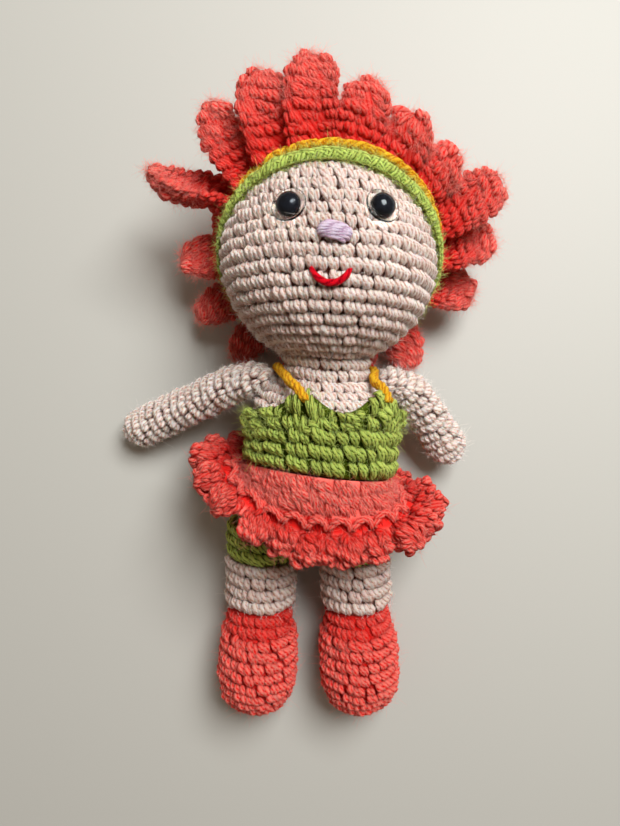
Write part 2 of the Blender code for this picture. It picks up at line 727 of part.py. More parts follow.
def leg_line(label, lift=0.0):
    splay = LEG_SPLAY if label == "right" else -LEG_SPLAY
    slope = LEG_SLOPE - lift
    return Vector((math.sin(splay) * math.cos(slope), -math.cos(splay) * math.cos(slope), -math.sin(slope)))


def leg_frame(label, lift=0.0):
    """Local Z runs from the boot to the hip, and local Y points to the table."""
    return frame_at(HIPS[label], -leg_line(label, lift), -FRONT)


SHOULDERS = {}
for label, (side, up, height) in SHOULDER_PLACES.items():
    SHOULDERS[label] = Vector((NECK.x + side, WAIST_Y + up, height))


def build_torso():
    """Skin above the waist, green pants below it, one stuffing inside both, and sockets for the limbs."""
    chest = [(torso_radius(h), h) for h in steps_between(NECK_TOP, SHOULDER_START, NECK_ROWS)]
    chest += [(torso_radius(h), h) for h in steps_between(SHOULDER_START, GAP / 2.0, CHEST_ROWS)[1:]]
    shell = walled(turned("chest_shell", chest, TORSO_FRAME, TORSO_SIDES, SKIN), FABRIC)
    bowl = HIP_DEPTH - HIP_START
    hip_rows = [-HIP_START - bowl * math.sin(QUARTER_TURN * i / HIP_ROWS) for i in range(HIP_ROWS)]
    bottom = [(torso_radius(h), h) for h in [-GAP / 2.0] + hip_rows] + [(0.0, -HIP_DEPTH)]
    pants = walled(turned("pants", bottom, TORSO_FRAME, TORSO_SIDES, GREEN), FABRIC)
    inner = FABRIC + TORSO_FILL_GAP
    fill = [(0.0, NECK_TOP)] + [off_torso(h, -inner) for h in steps_between(NECK_TOP, 0.0, FILL_ROWS)]
    fill += [off_torso(h, -inner) for h in hip_rows[:-1]]
    fill += [(0.0, inner - HIP_DEPTH)]
    stuffing = turned("torso_stuffing", fill, TORSO_FRAME, TORSO_SIDES // 2, FILL)
    cut(shell, HEAD_FORM)
    cut(stuffing, HEAD_FORM)
    for label in HIPS:
        hip = ball_form(f"hip_room_{label}", HIP_BALL + SOCKET_FIT, leg_frame(label), TORSO_SIDES)
        cut(pants, hip)
        cut(stuffing, hip)
        lifted = leg_frame(label, HIP_LIFT)
        cut(pants, rod_form(f"leg_room_{label}", LEG_RADIUS + GAP + GAP, 0.0, -LEG_END, lifted))
        shoulder = Matrix.Translation(SHOULDERS[label])
        socket = ball_form(f"shoulder_room_{label}", SHOULDER_BALL + SOCKET_FIT, shoulder, SMALL_SIDES)
        cut(shell, socket)
        cut(stuffing, socket)


def bodice_top(turn):
    """Height of the neckline at a turn from the front: two peaks with a notch between them."""
    hump = math.exp(-(((abs(turn) - PEAK_TURN) / PEAK_SPREAD) ** 2))
    dip = math.exp(-((turn / PEAK_SPREAD) ** 2))
    return BODICE_TOP + BODICE_PEAK * hump - BODICE_NOTCH * dip


def build_bodice():
    """A tube of fabric round the chest, open at the top and the bottom."""
    rings = []
    for row in range(BODICE_ROWS + 1):
        ring = []
        for k in range(BODICE_SIDES):
            turn = 2.0 * math.pi * k / BODICE_SIDES - math.pi
            height = (bodice_top(turn) + BODICE_DROP) * row / BODICE_ROWS - BODICE_DROP
            ring.append(on_torso(turn, height, BODICE_FIT + BODICE_THICKNESS))
        rings.append(ring)
    walled(lofted("bodice", rings, GREEN, closed_start=False, closed_end=False), BODICE_THICKNESS)


def build_strap():
    """A yellow halter from one peak of the bodice round the back of the neck to the other."""
    seat = GAP + GAP + STRAP_RADIUS
    half = []
    for turn in steps_between(STRAP_SHARES[0][0], STRAP_SHARES[-1][0], STRAP_ROWS):
        half.append((math.radians(turn), between(STRAP_SHARES, turn)[0] * NECK_BASE))
    points = [on_torso(-turn, height, seat) for turn, height in half]
    points += [on_torso(turn, height, seat) for turn, height in reversed(half[:-1])]
    closed_tube("halter_strap", points, STRAP_RADIUS, YELLOW)


def build_skirt():
    """A ring of fabric from under the bodice to a scalloped hem, flat where the doll lies."""
    columns = SKIRT_LOBES * LOBE_FACETS
    start = WAIST_RADIUS + GAP + SKIRT_THICKNESS / 2.0 + SKIRT_FIT
    top = -BODICE_DROP - GAP - GAP
    rings = []
    for row in range(FLARE_ROWS + 2):
        ring = []
        s = max(0.0, (row - 1) / FLARE_ROWS)
        band_end = top - (SKIRT_BAND if row else 0.0)
        for k in range(columns):
            degrees = 360.0 * k / columns - 180.0
            turn = math.radians(degrees)
            reach_share, drop_share = between(HEM_SHARES, degrees)
            lobe = math.cos(SKIRT_LOBES * turn) * s * s
            reach = start + (reach_share * SKIRT_REACH - start) * s * s + LOBE_SWELL * lobe
            height = band_end - drop_share * SKIRT_DROP * s - LOBE_DEPTH * lobe
            # The turn is from straight ahead, and the torso's front is rolled from there
            rolled = turn - TORSO_ROLL
            point = TORSO_FRAME @ Vector((reach * math.sin(rolled), -reach * math.cos(rolled), height))
            # Pressed flat where the doll lies on it
            point.z = max(point.z, SKIRT_THICKNESS / 2.0)
            ring.append(point)
        rings.append(list(reversed(ring)))
    walled(lofted("skirt", rings, CORAL, closed_start=False, closed_end=False), SKIRT_THICKNESS, 0.0)


def build_leg(label):
    """Green rounds with a ball at the hip, skin rounds, and a boot, round one stuffing."""
    frame = leg_frame(label)
    cuff = arc(HIP_BALL, HIP_BALL, 0.0, QUARTER_TURN, CUFF_ROWS)
    cuff += [(LEG_RADIUS, -PANTS_LEG / 2.0), (LEG_RADIUS, -PANTS_LEG)]
    walled(turned(f"pants_leg_{label}", cuff, frame, LIMB_SIDES, GREEN), FABRIC)
    middle = -PANTS_LEG - LEG_LENGTH / 2.0
    tube = [(LEG_RADIUS, -PANTS_LEG - GAP), (LEG_RADIUS, middle), (LEG_FOOT_RADIUS, -LEG_END)]
    cut(walled(turned(f"leg_{label}", tube, frame, LIMB_SIDES, SKIN), FABRIC), FLOOR)
    rings = []
    for along, wide, deep, lift in BOOT_SHARES:
        centre = Vector((0.0, -lift * BOOT_TOE, -LEG_END - GAP - along * BOOT_LENGTH))
        ring = []
        for k in range(LIMB_SIDES):
            a = -2.0 * math.pi * k / LIMB_SIDES
            corner = Vector((math.cos(a) * wide, math.sin(a) * deep, 0.0)) * BOOT_RADIUS
            ring.append(frame @ (centre + corner))
        rings.append(ring)
    cut(walled(lofted(f"boot_{label}", rings, CORAL, closed_start=False), FABRIC), FLOOR)
    inner = FABRIC + FILL_GAP
    core = LEG_FOOT_RADIUS - inner
    ball = HIP_BALL - inner
    fill = arc(ball, ball, 0.0, QUARTER_TURN, 3) + [(core, -PANTS_LEG), (core, -LEG_END)]
    fill = [(min(radius, core), height) for radius, height in fill]
    fill += [(core * share, -LEG_END - along * BOOT_LENGTH) for along, share in BOOT_FILL_SHARES]
    fill += [(0.0, -LEG_END - BOOT_FILL_SHARES[-1][0] * BOOT_LENGTH)]
    turned(f"leg_{label}_stuffing", fill, frame, LIMB_SIDES, FILL)


def rounded_ends(middle, radii, shrink):
    """Adds the dome of the shoulder and of the hand to an arm's line and to its radii."""
    start = (middle[0] - middle[1]).normalized()
    end = (middle[-1] - middle[-2]).normalized()
    ball = SHOULDER_BALL - shrink
    hand = radii[-1] - shrink
    line = [middle[0] + start * ball * math.sin(a) for a in DOME_TURNS] + middle
    line += [middle[-1] + end * hand * math.sin(a) for a in reversed(DOME_TURNS)]
    sizes = [ball * math.cos(a) for a in DOME_TURNS] + [r - shrink for r in radii]
    sizes += [hand * math.cos(a) for a in reversed(DOME_TURNS)]
    return line, sizes


def build_arm(label, shares):
    """A slim tube that is rounded at the shoulder seam and at the hand, with its own stuffing."""
    middle = smooth_line([SHOULDERS[label] + Vector(share) * ARM_LENGTH for share in shares], ARM_ROWS)
    radii = [between(ARM_THICKNESS_SHARES, i / ARM_ROWS)[0] * ARM_RADIUS for i in range(ARM_ROWS + 1)]
    line, sizes = rounded_ends(middle, radii, 0.0)
    skin = lofted(f"arm_{label}", tube_rings(line, sizes, ARM_SIDES), SKIN, closed_start=False)
    walled(skin, FABRIC)
    line, sizes = rounded_ends(middle, radii, FABRIC + FILL_GAP)
    lofted(f"arm_{label}_stuffing", tube_rings(line, sizes, ARM_SIDES), FILL)


build_head()
build_nose()
build_mouth()
build_bonnet()
build_petals()
build_torso()
build_bodice()
build_strap()
build_skirt()
for label, shares in (("left", LEFT_ARM_SHARES), ("right", RIGHT_ARM_SHARES)):
    build_leg(label)
    build_arm(label, shares)
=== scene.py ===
import json
import math

import bmesh
import bpy
import numpy as np
from mathutils import Matrix, Vector


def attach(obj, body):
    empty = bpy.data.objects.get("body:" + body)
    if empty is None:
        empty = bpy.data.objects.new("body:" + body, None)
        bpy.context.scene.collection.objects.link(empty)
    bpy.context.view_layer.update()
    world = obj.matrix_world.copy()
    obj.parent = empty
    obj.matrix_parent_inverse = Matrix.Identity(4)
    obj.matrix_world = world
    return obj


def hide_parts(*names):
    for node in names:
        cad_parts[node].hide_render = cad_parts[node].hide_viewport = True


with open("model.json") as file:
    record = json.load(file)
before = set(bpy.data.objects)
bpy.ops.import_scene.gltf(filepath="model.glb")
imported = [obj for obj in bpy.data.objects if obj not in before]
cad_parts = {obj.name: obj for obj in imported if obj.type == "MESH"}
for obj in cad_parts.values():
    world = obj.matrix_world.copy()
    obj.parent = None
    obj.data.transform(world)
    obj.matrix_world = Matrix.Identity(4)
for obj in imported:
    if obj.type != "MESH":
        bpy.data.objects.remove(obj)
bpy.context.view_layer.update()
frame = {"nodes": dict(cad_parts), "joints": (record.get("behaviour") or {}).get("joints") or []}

joints = {joint["name"]: joint for joint in frame["joints"]}
HEAD = np.array(joints["head_turn"]["pos_m"])
HEAD_LINE = np.array(joints["head_turn"]["axis"])
FRONT = np.array((0.0, 0.0, 1.0))


# The place where the doll lies: a pale floor, one large soft lamp up to the right, and the sky's even light.
# The camera looks straight down from about 290 mm, with the doll's head towards the top of the picture.

FLOOR_SIDE = 4.0
FLOOR_COLOUR = (0.45, 0.455, 0.425)
FLOOR_ROUGHNESS = 0.6
CAMERA_HEIGHT = 0.288
CAMERA_SIDE = -0.0072
CAMERA_DOWN = -0.0581
LENS = 36.0
NEAREST_SEEN = 0.01
LAMP_PLACE = (0.30, 0.44, 0.80)
LAMP_SIDE = 0.48
LAMP_WATTS = 13.6
LAMP_COLOUR = (1.0, 0.99, 0.975)
SKY_COLOUR = (1.0, 0.78, 0.60)
SKY_STRENGTH = 0.24


def feed(tree, node, feeds):
    """Gives a shader node's inputs, by name or number, what each takes: a number, a colour or another node's output."""
    for key, value in feeds.items():
        socket = node.inputs[key]
        if isinstance(value, bpy.types.NodeSocket):
            tree.links.new(value, socket)
        elif socket.type == "RGBA":
            socket.default_value = (*value, 1.0)
        else:
            socket.default_value = value


def new_finish(name):
    """A new material, its node tree and its main shader."""
    material = bpy.data.materials.new(name)
    material.use_nodes = True
    return material, material.node_tree, material.node_tree.nodes["Principled BSDF"]


def linked_object(name, data):
    thing = bpy.data.objects.new(name, data)
    bpy.context.scene.collection.objects.link(thing)
    return thing


bpy.ops.object.select_all(action="DESELECT")
bpy.ops.mesh.primitive_plane_add(size=FLOOR_SIDE, location=(0.0, 0.0, 0.0))
floor = bpy.context.object
floor.name = "floor"
floor_paint, floor_tree, floor_shader = new_finish("floor_paint")
feed(floor_tree, floor_shader, {"Base Color": FLOOR_COLOUR, "Roughness": FLOOR_ROUGHNESS})
floor.data.materials.append(floor_paint)

camera = linked_object("camera", bpy.data.cameras.new("camera"))
camera.location = (HEAD[0] + CAMERA_SIDE, HEAD[1] + CAMERA_DOWN, CAMERA_HEIGHT)
camera.data.lens = LENS
camera.data.sensor_width = LENS
camera.data.sensor_fit = "HORIZONTAL"
camera.data.clip_start = NEAREST_SEEN
bpy.context.scene.camera = camera

lamp = linked_object("window_lamp", bpy.data.lights.new("window_lamp", "AREA"))
lamp.location = LAMP_PLACE
lamp.rotation_euler = (-Vector(LAMP_PLACE)).to_track_quat("-Z", "Y").to_euler()
lamp.data.size = LAMP_SIDE
lamp.data.energy = LAMP_WATTS
lamp.data.color = LAMP_COLOUR

world = bpy.data.worlds.new("even_light")
world.use_nodes = True
feed(world.node_tree, world.node_tree.nodes["Background"], {"Color": SKY_COLOUR, "Strength": SKY_STRENGTH})
bpy.context.scene.world = world
bpy.context.scene.view_settings.view_transform = "Standard"


# Head: skin-coloured acrylic yarn worked in rounds over loose fill, from the neck up to the crown.
# Each stitch shows as two fat strands that lean apart, with a dark hole on each side of its foot.
# This section also makes what every crocheted piece uses: the strand, the stitch, the rounds and the yarn.

FLOOR_SOFT = 0.0012
RING_SIDES = 5
STITCH_WIDTH = 0.0041
STITCH_HEIGHT = 0.0050
STITCH_SIZE = (STITCH_HEIGHT, STITCH_WIDTH)
PLY_SCALE = 100.0
FIBRE_RADIUS = 0.000050
# The tone of the painted shade in the holes between stitches.
HOLE_PAINTED_SHADE = 0.15
MM = 0.001


def normalised(vectors):
    return vectors / np.maximum(np.linalg.norm(vectors, axis=-1, keepdims=True), 1e-12)


def smooth_row(points, count):
    """Points along a smooth curve through given rows of numbers."""
    points = np.asarray(points, float)
    ends = np.vstack([2.0 * points[0] - points[1], points, 2.0 * points[-1] - points[-2]])
    at = np.linspace(0.0, len(points) - 1.0, count)
    k = np.minimum(at.astype(int), len(points) - 2)
    t = (at - k)[:, None]
    a, b, c, d = ends[k], ends[k + 1], ends[k + 2], ends[k + 3]
    return (2.0 * b + (c - a) * t + (2.0 * a - 5.0 * b + 4.0 * c - d) * t**2 + (3.0 * b - a - 3.0 * c + d) * t**3) / 2.0


def row_lengths(line):
    """How far along a line each of its points is."""
    return np.concatenate([[0.0], np.cumsum(np.linalg.norm(np.diff(line, axis=0), axis=1))])


def ring_quads(rings, sides):
    """The faces between rings of corners, ring by ring and side by side."""
    quads = []
    for i in range(rings - 1):
        for k in range(sides):
            after = (k + 1) % sides
            quads.append((i * sides + k, i * sides + after, (i + 1) * sides + after, (i + 1) * sides + k))
    return quads


def tube_faces(rings, sides):
    """The same faces, with the two ends closed."""
    last = (rings - 1) * sides
    return ring_quads(rings, sides) + [tuple(reversed(range(sides))), tuple(range(last, last + sides))]


def tube_marks(lengths, sides, parts):
    """The ply's length and turn at the corners of the faces between rings."""
    marks = []
    for low, high in zip(lengths, lengths[1:]):
        for k in range(sides):
            start, stop = k / parts, (k + 1) / parts
            marks += [(low, start), (low, stop), (high, stop), (high, start)]
    return marks


def strand(points, radii, sides=RING_SIDES):
    """A round strand with closed ends: its corners, its faces, and each face corner's length and turn for the ply."""
    points = np.asarray(points, float)
    radii = np.broadcast_to(radii, len(points))
    ahead = normalised(np.gradient(points, axis=0))
    side = np.cross(ahead, FRONT)
    flat = np.linalg.norm(side, axis=1) < 0.05
    side[flat] = np.cross(ahead[flat], (0.0, 1.0, 0.0))
    for i in range(1, len(points)):
        side[i] = side[i - 1] - ahead[i] * np.dot(side[i - 1], ahead[i])
    side = normalised(side)
    up = np.cross(ahead, side)
    angles = 2.0 * np.pi * np.arange(sides) / sides
    ring = side[:, None] * np.cos(angles)[None, :, None] + up[:, None] * np.sin(angles)[None, :, None]
    corners = points[:, None] + radii[:, None, None] * ring
    length = row_lengths(points) * PLY_SCALE
    marks = tube_marks(length, sides, sides)
    marks += [(length[0], k / sides) for k in reversed(range(sides))] + [(length[-1], k / sides) for k in range(sides)]
    return corners.reshape(-1, 3), tube_faces(len(points), sides), marks


def bundle(strands):
    """Several strands as one shape."""
    corners, faces, uvs, start = [], [], [], 0
    for some, more, marks in strands:
        corners.append(some)
        faces += [tuple(k + start for k in face) for face in more]
        uvs += marks
        start += len(some)
    return {
        "corners": np.vstack(corners),
        "loops": np.concatenate([np.array(face) for face in faces]),
        "totals": np.array([len(face) for face in faces]),
        "uvs": np.array(uvs),
    }


def stitch_shape(foot=0.12, wide=0.94, fat=0.88, slant=-0.14, flat=1.0, sides=RING_SIDES):
    """One stitch in stitch widths, stitch heights and metres: two strands that rise from one foot and part like a V."""
    leg = np.array(
        (
            (0.00, -0.60, -1.90, 0.50),
            (0.14, 0.20, -0.95, 0.80),
            (0.52, 1.30, 0.10, 1.06),
            (0.88, 2.50, 0.80, 1.34),
            (1.00, 3.55, 0.98, 1.44),
            (0.92, 4.50, 0.25, 1.22),
            (0.60, 5.25, -1.45, 0.60),
        )
    )
    legs = []
    for sign in (-1.0, 1.0):
        points = leg[:, :3] * MM
        points[:, 0] = sign * wide * MM * (foot + (1.0 - foot) * leg[:, 0]) + slant * (points[:, 1] - 2.4 * MM)
        points[:, 1] -= 0.2 * MM * sign
        points[:, 2] = points[:, 2] * flat - 0.1 * MM * (sign + 1.0)
        legs.append(strand(points, leg[:, 3] * MM * fat, sides))
    shape = bundle(legs)
    shape["corners"] = shape["corners"] / (STITCH_WIDTH, STITCH_HEIGHT, 1.0)
    return shape


PLAIN_STITCH = stitch_shape(wide=1.08, fat=1.0)
SLANT_STITCH = stitch_shape(foot=0.30, wide=1.02, fat=0.92, slant=-0.24)


def ring_surface(lengths, centres, across, up, cup=None):
    """A place function over oval rings, which cup may bend. Turns start at across, and lengths at the first ring."""
    columns = np.hstack([centres, across, up] if cup is None else [centres, across, up, cup])

    def place(turn, at):
        values = np.stack([np.interp(at, lengths, column) for column in columns.T], axis=-1)
        turn = np.asarray(turn)[..., None]
        points = values[..., 0:3] + values[..., 3:6] * np.cos(turn) + values[..., 6:9] * np.sin(turn)
        return points if cup is None else points + values[..., 9:12] * np.cos(turn) ** 2

    place.lengths = lengths
    return place


def swept(centres, along, front, wide, deep=None):
    """A surface of rings along a line, with turns from its front."""
    centres = np.asarray(centres, float)
    wide = np.broadcast_to(np.asarray(wide, float), len(centres))
    deep = wide if deep is None else np.broadcast_to(np.asarray(deep, float), len(centres))
    along = normalised(np.broadcast_to(np.asarray(along, float), centres.shape))
    front = np.broadcast_to(np.asarray(front, float), centres.shape)
    front = normalised(front - along * np.sum(front * along, axis=1, keepdims=True))
    right = np.cross(along, front)
    across = front * deep[:, None]
    return ring_surface(row_lengths(centres + across), centres, across, right * wide[:, None])


def lifted(place, turn, at, out):
    """Points off a surface by a distance square to it."""
    turn, at, out = np.broadcast_arrays(turn, at, out)
    across = place(turn + 0.004, at) - place(turn - 0.004, at)
    end = place.lengths[-1]
    low, high = np.clip(at - 0.0004, 0.0, end - 0.0008), np.clip(at + 0.0004, 0.0008, end)
    along = place(turn, high) - place(turn, low)
    return place(turn, at) + normalised(np.cross(across, along)) * out[..., None]


def rounds(place, first, last, size):
    """Rounds of stitches between two lengths along a form: each one's start, height, stitches and phase."""
    height, width = size
    count = max(1, round(abs(last - first) / height))
    step = (last - first) / count
    rows = []
    for i in range(count):
        ring = place(np.linspace(0.0, 2.0 * np.pi, 49), np.full(49, first + (i + 0.5) * step))
        girth = np.linalg.norm(np.diff(ring, axis=0), axis=1).sum()
        rows.append((first + i * step, step, max(5, round(girth / width)), i * 0.5 + 0.25 * math.sin(1.7 * i)))
    return rows


def shaded(shade, at):
    """A shade, painted light or shade on a piece's stitches, is a number, or a function of the length."""
    return shade(at) if callable(shade) else shade


def cover(place, first, last, seed, size=STITCH_SIZE, keep=None, shape=PLAIN_STITCH, out=0.0, **look):
    """Stitches over a form. keep takes middles and says which are made.
    A look may say how loose the stitches are, a bulge that moves them and a shade that tones them lighter or darker as
    painted light and shade.
    """
    loose, bulge, shade = look.get("loose", 1.0), look.get("bulge"), look.get("shade", 1.0)
    draw = np.random.default_rng(seed)
    x, y, z = shape["corners"].T
    # Painted shade: the parts of each stitch that sink towards the fabric are toned darker.
    depth = np.clip(0.30 + 0.70 * (z + 1.4 * MM) / (2.2 * MM), 0.25, 1.0)
    made = []
    for at, high, stitches, phase in rounds(place, first, last, size):
        step = 2.0 * np.pi / stitches
        turns = (np.arange(stitches) + phase) * step
        if keep is not None:
            turns = turns[keep(place(turns, np.full(stitches, at + high / 2.0)))]
        count = len(turns)
        if not count:
            continue
        lean = draw.normal(0.0, 0.10, (count, 1)) * loose
        grow = 1.0 + draw.normal(0.0, 0.06, (count, 1)) * loose
        shift = draw.normal(0.0, 0.05, (count, 1)) * loose
        lift = draw.normal(0.0, 0.16 * MM, (count, 1)) * loose
        a = turns[:, None] + step * (x * grow + lean * y + shift)
        b = at + high * (y * (1.0 + (grow - 1.0) * 0.6) - lean * x + shift * 0.8)
        b = np.clip(b, 0.0, place.lengths[-1])
        c = z * grow + lift + out + draw.normal(0.0, 0.06 * MM, (count, len(z)))
        if bulge is not None:
            c = c + bulge(a, b)
        tones = draw.normal(1.0, 0.06, (count, 1)) * depth * shaded(shade, b)
        made.append((lifted(place, a, b, c).reshape(-1, 3), tones.ravel(), shape, count))
    return made


def grid(place, first, last, turns, rows, out):
    """Points at even turns and lengths over a form."""
    turn, at = np.meshgrid(2.0 * np.pi * np.arange(turns) / turns, np.linspace(first, last, rows))
    return lifted(place, turn, at, out).reshape(-1, 3)


def shade_lining(place, first, last, out, turns=48, rows=30, tone=HOLE_PAINTED_SHADE, shade=1.0):
    """The closed inner side of the fabric, toned dark as painted shade, which shows as the holes between stitches."""
    corners = grid(place, first, last, turns, rows, out)
    lengths = np.linspace(first, last, rows)
    marks = tube_marks(lengths * PLY_SCALE, turns, 3.0) + [(0.0, 0.0)] * (2 * turns)
    tones = np.broadcast_to(tone * shaded(shade, np.repeat(lengths, turns)), len(corners))
    return [(corners, tones, bundle([(corners, tube_faces(rows, turns), marks)]), 1)]


def fuzz(place, first, last, count, seed, length=0.0022, keep=None, out=0.0002):
    """Loose fibre ends that stand off the yarn."""
    draw = np.random.default_rng(seed)
    turn = draw.uniform(0.0, 2.0 * np.pi, count)
    at = draw.uniform(first, last, count)
    if keep is not None:
        kept = keep(place(turn, at))
        turn, at = turn[kept], at[kept]
        count = len(turn)
    foot = lifted(place, turn, at, out)
    outward = normalised(lifted(place, turn, at, out + MM) - foot)
    along = normalised(np.cross(outward, draw.normal(0.0, 1.0, (count, 3))))
    long = length * draw.uniform(0.4, 1.5, count)[:, None]
    start = normalised(outward * draw.uniform(0.2, 1.0, (count, 1)) + along)
    bend = draw.normal(0.0, 0.5, (count, 3))
    side = normalised(np.cross(start, outward + 0.01))
    up = np.cross(start, side)
    rings = []
    for share in (0.0, 0.5, 1.0):
        middle = foot + start * long * share + bend * long * share**2
        radius = FIBRE_RADIUS * (1.0 - 0.6 * share)
        for k in range(3):
            angle = 2.0 * np.pi * k / 3.0
            rings.append(middle + (side * math.cos(angle) + up * math.sin(angle)) * radius)
    corners = np.stack(rings, axis=1)
    shape = bundle([(corners[0], tube_faces(3, 3), [(0.0, 0.0)] * 30)])
    # Painted highlight: each fibre is toned lighter than its yarn, as loose fibres catch the light.
    return [(corners.reshape(-1, 3), np.repeat(draw.normal(1.20, 0.08, count), 9), shape, count)]


def worked(name, body, slot, made, node, press=True):
    """Joins what was made into one piece of a yarn that stands for its CAD node."""
    corners = np.vstack([some for some, _, _, _ in made])
    if press:
        low = corners[:, 2] < FLOOR_SOFT
        corners[low, 2] = FLOOR_SOFT * np.exp(corners[low, 2] / FLOOR_SOFT - 1.0)
    tones = np.concatenate([tone for _, tone, _, _ in made])
    loops, totals, uvs, start = [], [], [], 0
    for some, _, shape, count in made:
        each = len(some) // count
        steps = start + each * np.arange(count)[:, None]
        loops.append((shape["loops"][None, :] + steps).ravel())
        totals.append(np.tile(shape["totals"], count))
        uvs.append(np.tile(shape["uvs"], (count, 1)))
        start += len(some)
    loops, totals, uvs = np.concatenate(loops), np.concatenate(totals), np.vstack(uvs)
    mesh = bpy.data.meshes.new(name)
    mesh.vertices.add(len(corners))
    mesh.vertices.foreach_set("co", corners.astype(np.float32).ravel())
    mesh.loops.add(len(loops))
    mesh.loops.foreach_set("vertex_index", loops.astype(np.int32))
    mesh.polygons.add(len(totals))
    mesh.polygons.foreach_set("loop_start", np.concatenate([[0], np.cumsum(totals)[:-1]]).astype(np.int32))
    mesh.update(calc_edges=True)
    mesh.shade_smooth()
    mesh.uv_layers.new(name="ply").data.foreach_set("uv", uvs.astype(np.float32).ravel())
    mesh.attributes.new("tone", "FLOAT", "POINT").data.foreach_set("value", tones.astype(np.float32))
    mesh.materials.append(YARNS[slot])
    obj = linked_object(name, mesh)
    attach(obj, body)
    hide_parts(node)
    return obj


def spread(part, body, slot, made, cloth, **how):
    """A thin piece: the sheet of fabric, and its stitches, which go with it."""
    stitches = worked(f"{part}_crochet", body, slot, made, part)
    worked(f"{part}_cloth", body, slot, cloth, part)


def added_node(tree, kind, feeds=None, **settings):
    """A shader node with its settings and what its inputs take."""
    node = tree.nodes.new(kind)
    for name, value in settings.items():
        setattr(node, name, value)
    feed(tree, node, feeds or {})
    return node


def ply_group():
    """Plies that twist round a strand and the fibres in them: a colour and a height."""
    group = bpy.data.node_groups.new("twisted_ply", "ShaderNodeTree")
    for name in ("Light", "Dark", "Deep", "Plies", "Twist"):
        kind = "NodeSocketFloat" if name in ("Plies", "Twist") else "NodeSocketColor"
        group.interface.new_socket(name=name, in_out="INPUT", socket_type=kind)
    for name, kind in (("Color", "NodeSocketColor"), ("Height", "NodeSocketFloat")):
        group.interface.new_socket(name=name, in_out="OUTPUT", socket_type=kind)
    given = group.nodes.new("NodeGroupInput").outputs

    def sums(operation, *terms):
        return added_node(group, "ShaderNodeMath", dict(enumerate(terms)), operation=operation).outputs[0]

    def mixed(feeds, **settings):
        return added_node(group, "ShaderNodeMix", feeds, data_type="RGBA", **settings).outputs[2]

    ply_map = added_node(group, "ShaderNodeUVMap", uv_map="ply")
    along, round_it, _ = added_node(group, "ShaderNodeSeparateXYZ", {0: ply_map.outputs["UV"]}).outputs
    twist = sums("MULTIPLY_ADD", round_it, given["Plies"], sums("MULTIPLY", along, given["Twist"]))
    ply = sums("MULTIPLY_ADD", sums("COSINE", sums("MULTIPLY", twist, 2.0 * math.pi)), 0.5, 0.5)
    drawn_out = {0: sums("MULTIPLY", twist, 2.2), 1: sums("MULTIPLY", along, 5.0)}
    fibre_place = added_node(group, "ShaderNodeCombineXYZ", drawn_out).outputs[0]
    fibre_look = {"Vector": fibre_place, "Scale": 3.4, "Detail": 5.0, "Roughness": 0.62}
    fibres = added_node(group, "ShaderNodeTexNoise", fibre_look).outputs["Fac"]
    where = added_node(group, "ShaderNodeTexCoord").outputs["Object"]
    broad = added_node(group, "ShaderNodeTexNoise", {"Vector": where, "Scale": 260.0, "Detail": 2.0}).outputs["Fac"]
    # Painted shade and highlight: the grooves between plies take the dark colour and the crests the light one, over a
    # broad noise of random tone.
    height = sums("MULTIPLY_ADD", sums("POWER", ply, 0.6), 0.42, sums("MULTIPLY", fibres, 1.5))
    shade = sums("MULTIPLY_ADD", broad, 0.8, sums("MULTIPLY_ADD", height, 3.2, -2.85))
    clamp = added_node(group, "ShaderNodeClamp", {0: shade}).outputs[0]
    dyed = mixed({"Factor": clamp, 6: given["Dark"], 7: given["Light"]})
    # The tone darkens towards the deep colour: painted shade of holes and recesses, painted light on some pieces and
    # fibres, and a little random tone.
    tone = added_node(group, "ShaderNodeAttribute", attribute_name="tone").outputs["Fac"]
    deep = mixed({"Factor": tone, 6: given["Deep"], 7: (1.0, 1.0, 1.0)}, clamp_factor=False)
    tinted = mixed({"Factor": 1.0, 6: dyed, 7: deep}, blend_type="MULTIPLY")
    added_node(group, "NodeGroupOutput", {"Color": tinted, "Height": height})
    return group


TWISTED_PLY = ply_group()
YARN_BUMP = 0.0007
YARN_ROUGHNESS = 0.55
YARN_GLOSS = 0.30
GLOW_REACH = (1.0, 0.30, 0.18)
GLOW_DEPTH = 0.0018
SHEEN_ROUGHNESS = 0.4


# Light and dark are the colours of the plies' crests and grooves, painted highlight and shade; deep is the tint that
# painted shade takes.
def yarn(colour, light, dark, deep, plies=4.0, twist=3.4, sheen=0.16, glow=0.25):
    """Acrylic yarn: a soft, slightly shiny fibre in twisted plies."""
    material, tree, shader = new_finish(f"{colour}_acrylic")
    colours = {"Light": light, "Dark": dark, "Deep": deep, "Plies": plies, "Twist": twist}
    ply = added_node(tree, "ShaderNodeGroup", colours, node_tree=TWISTED_PLY)
    bumps = {"Strength": 1.0, "Distance": YARN_BUMP, "Height": ply.outputs["Height"]}
    feeds = {
        "Base Color": ply.outputs["Color"],
        "Normal": added_node(tree, "ShaderNodeBump", bumps).outputs["Normal"],
        "Roughness": YARN_ROUGHNESS,
        "Specular IOR Level": YARN_GLOSS,
        "Specular Tint": light,
        "Subsurface Weight": glow,
        "Subsurface Radius": GLOW_REACH,
        "Subsurface Scale": GLOW_DEPTH,
        "Sheen Weight": sheen,
        "Sheen Roughness": SHEEN_ROUGHNESS,
        "Sheen Tint": light,
    }
    feed(tree, shader, feeds)
    YARNS[f"{colour}_yarn"] = material


YARNS = {}
yarn("skin", (0.99, 0.86, 0.80), (0.60, 0.34, 0.26), (0.32, 0.08, 0.03))

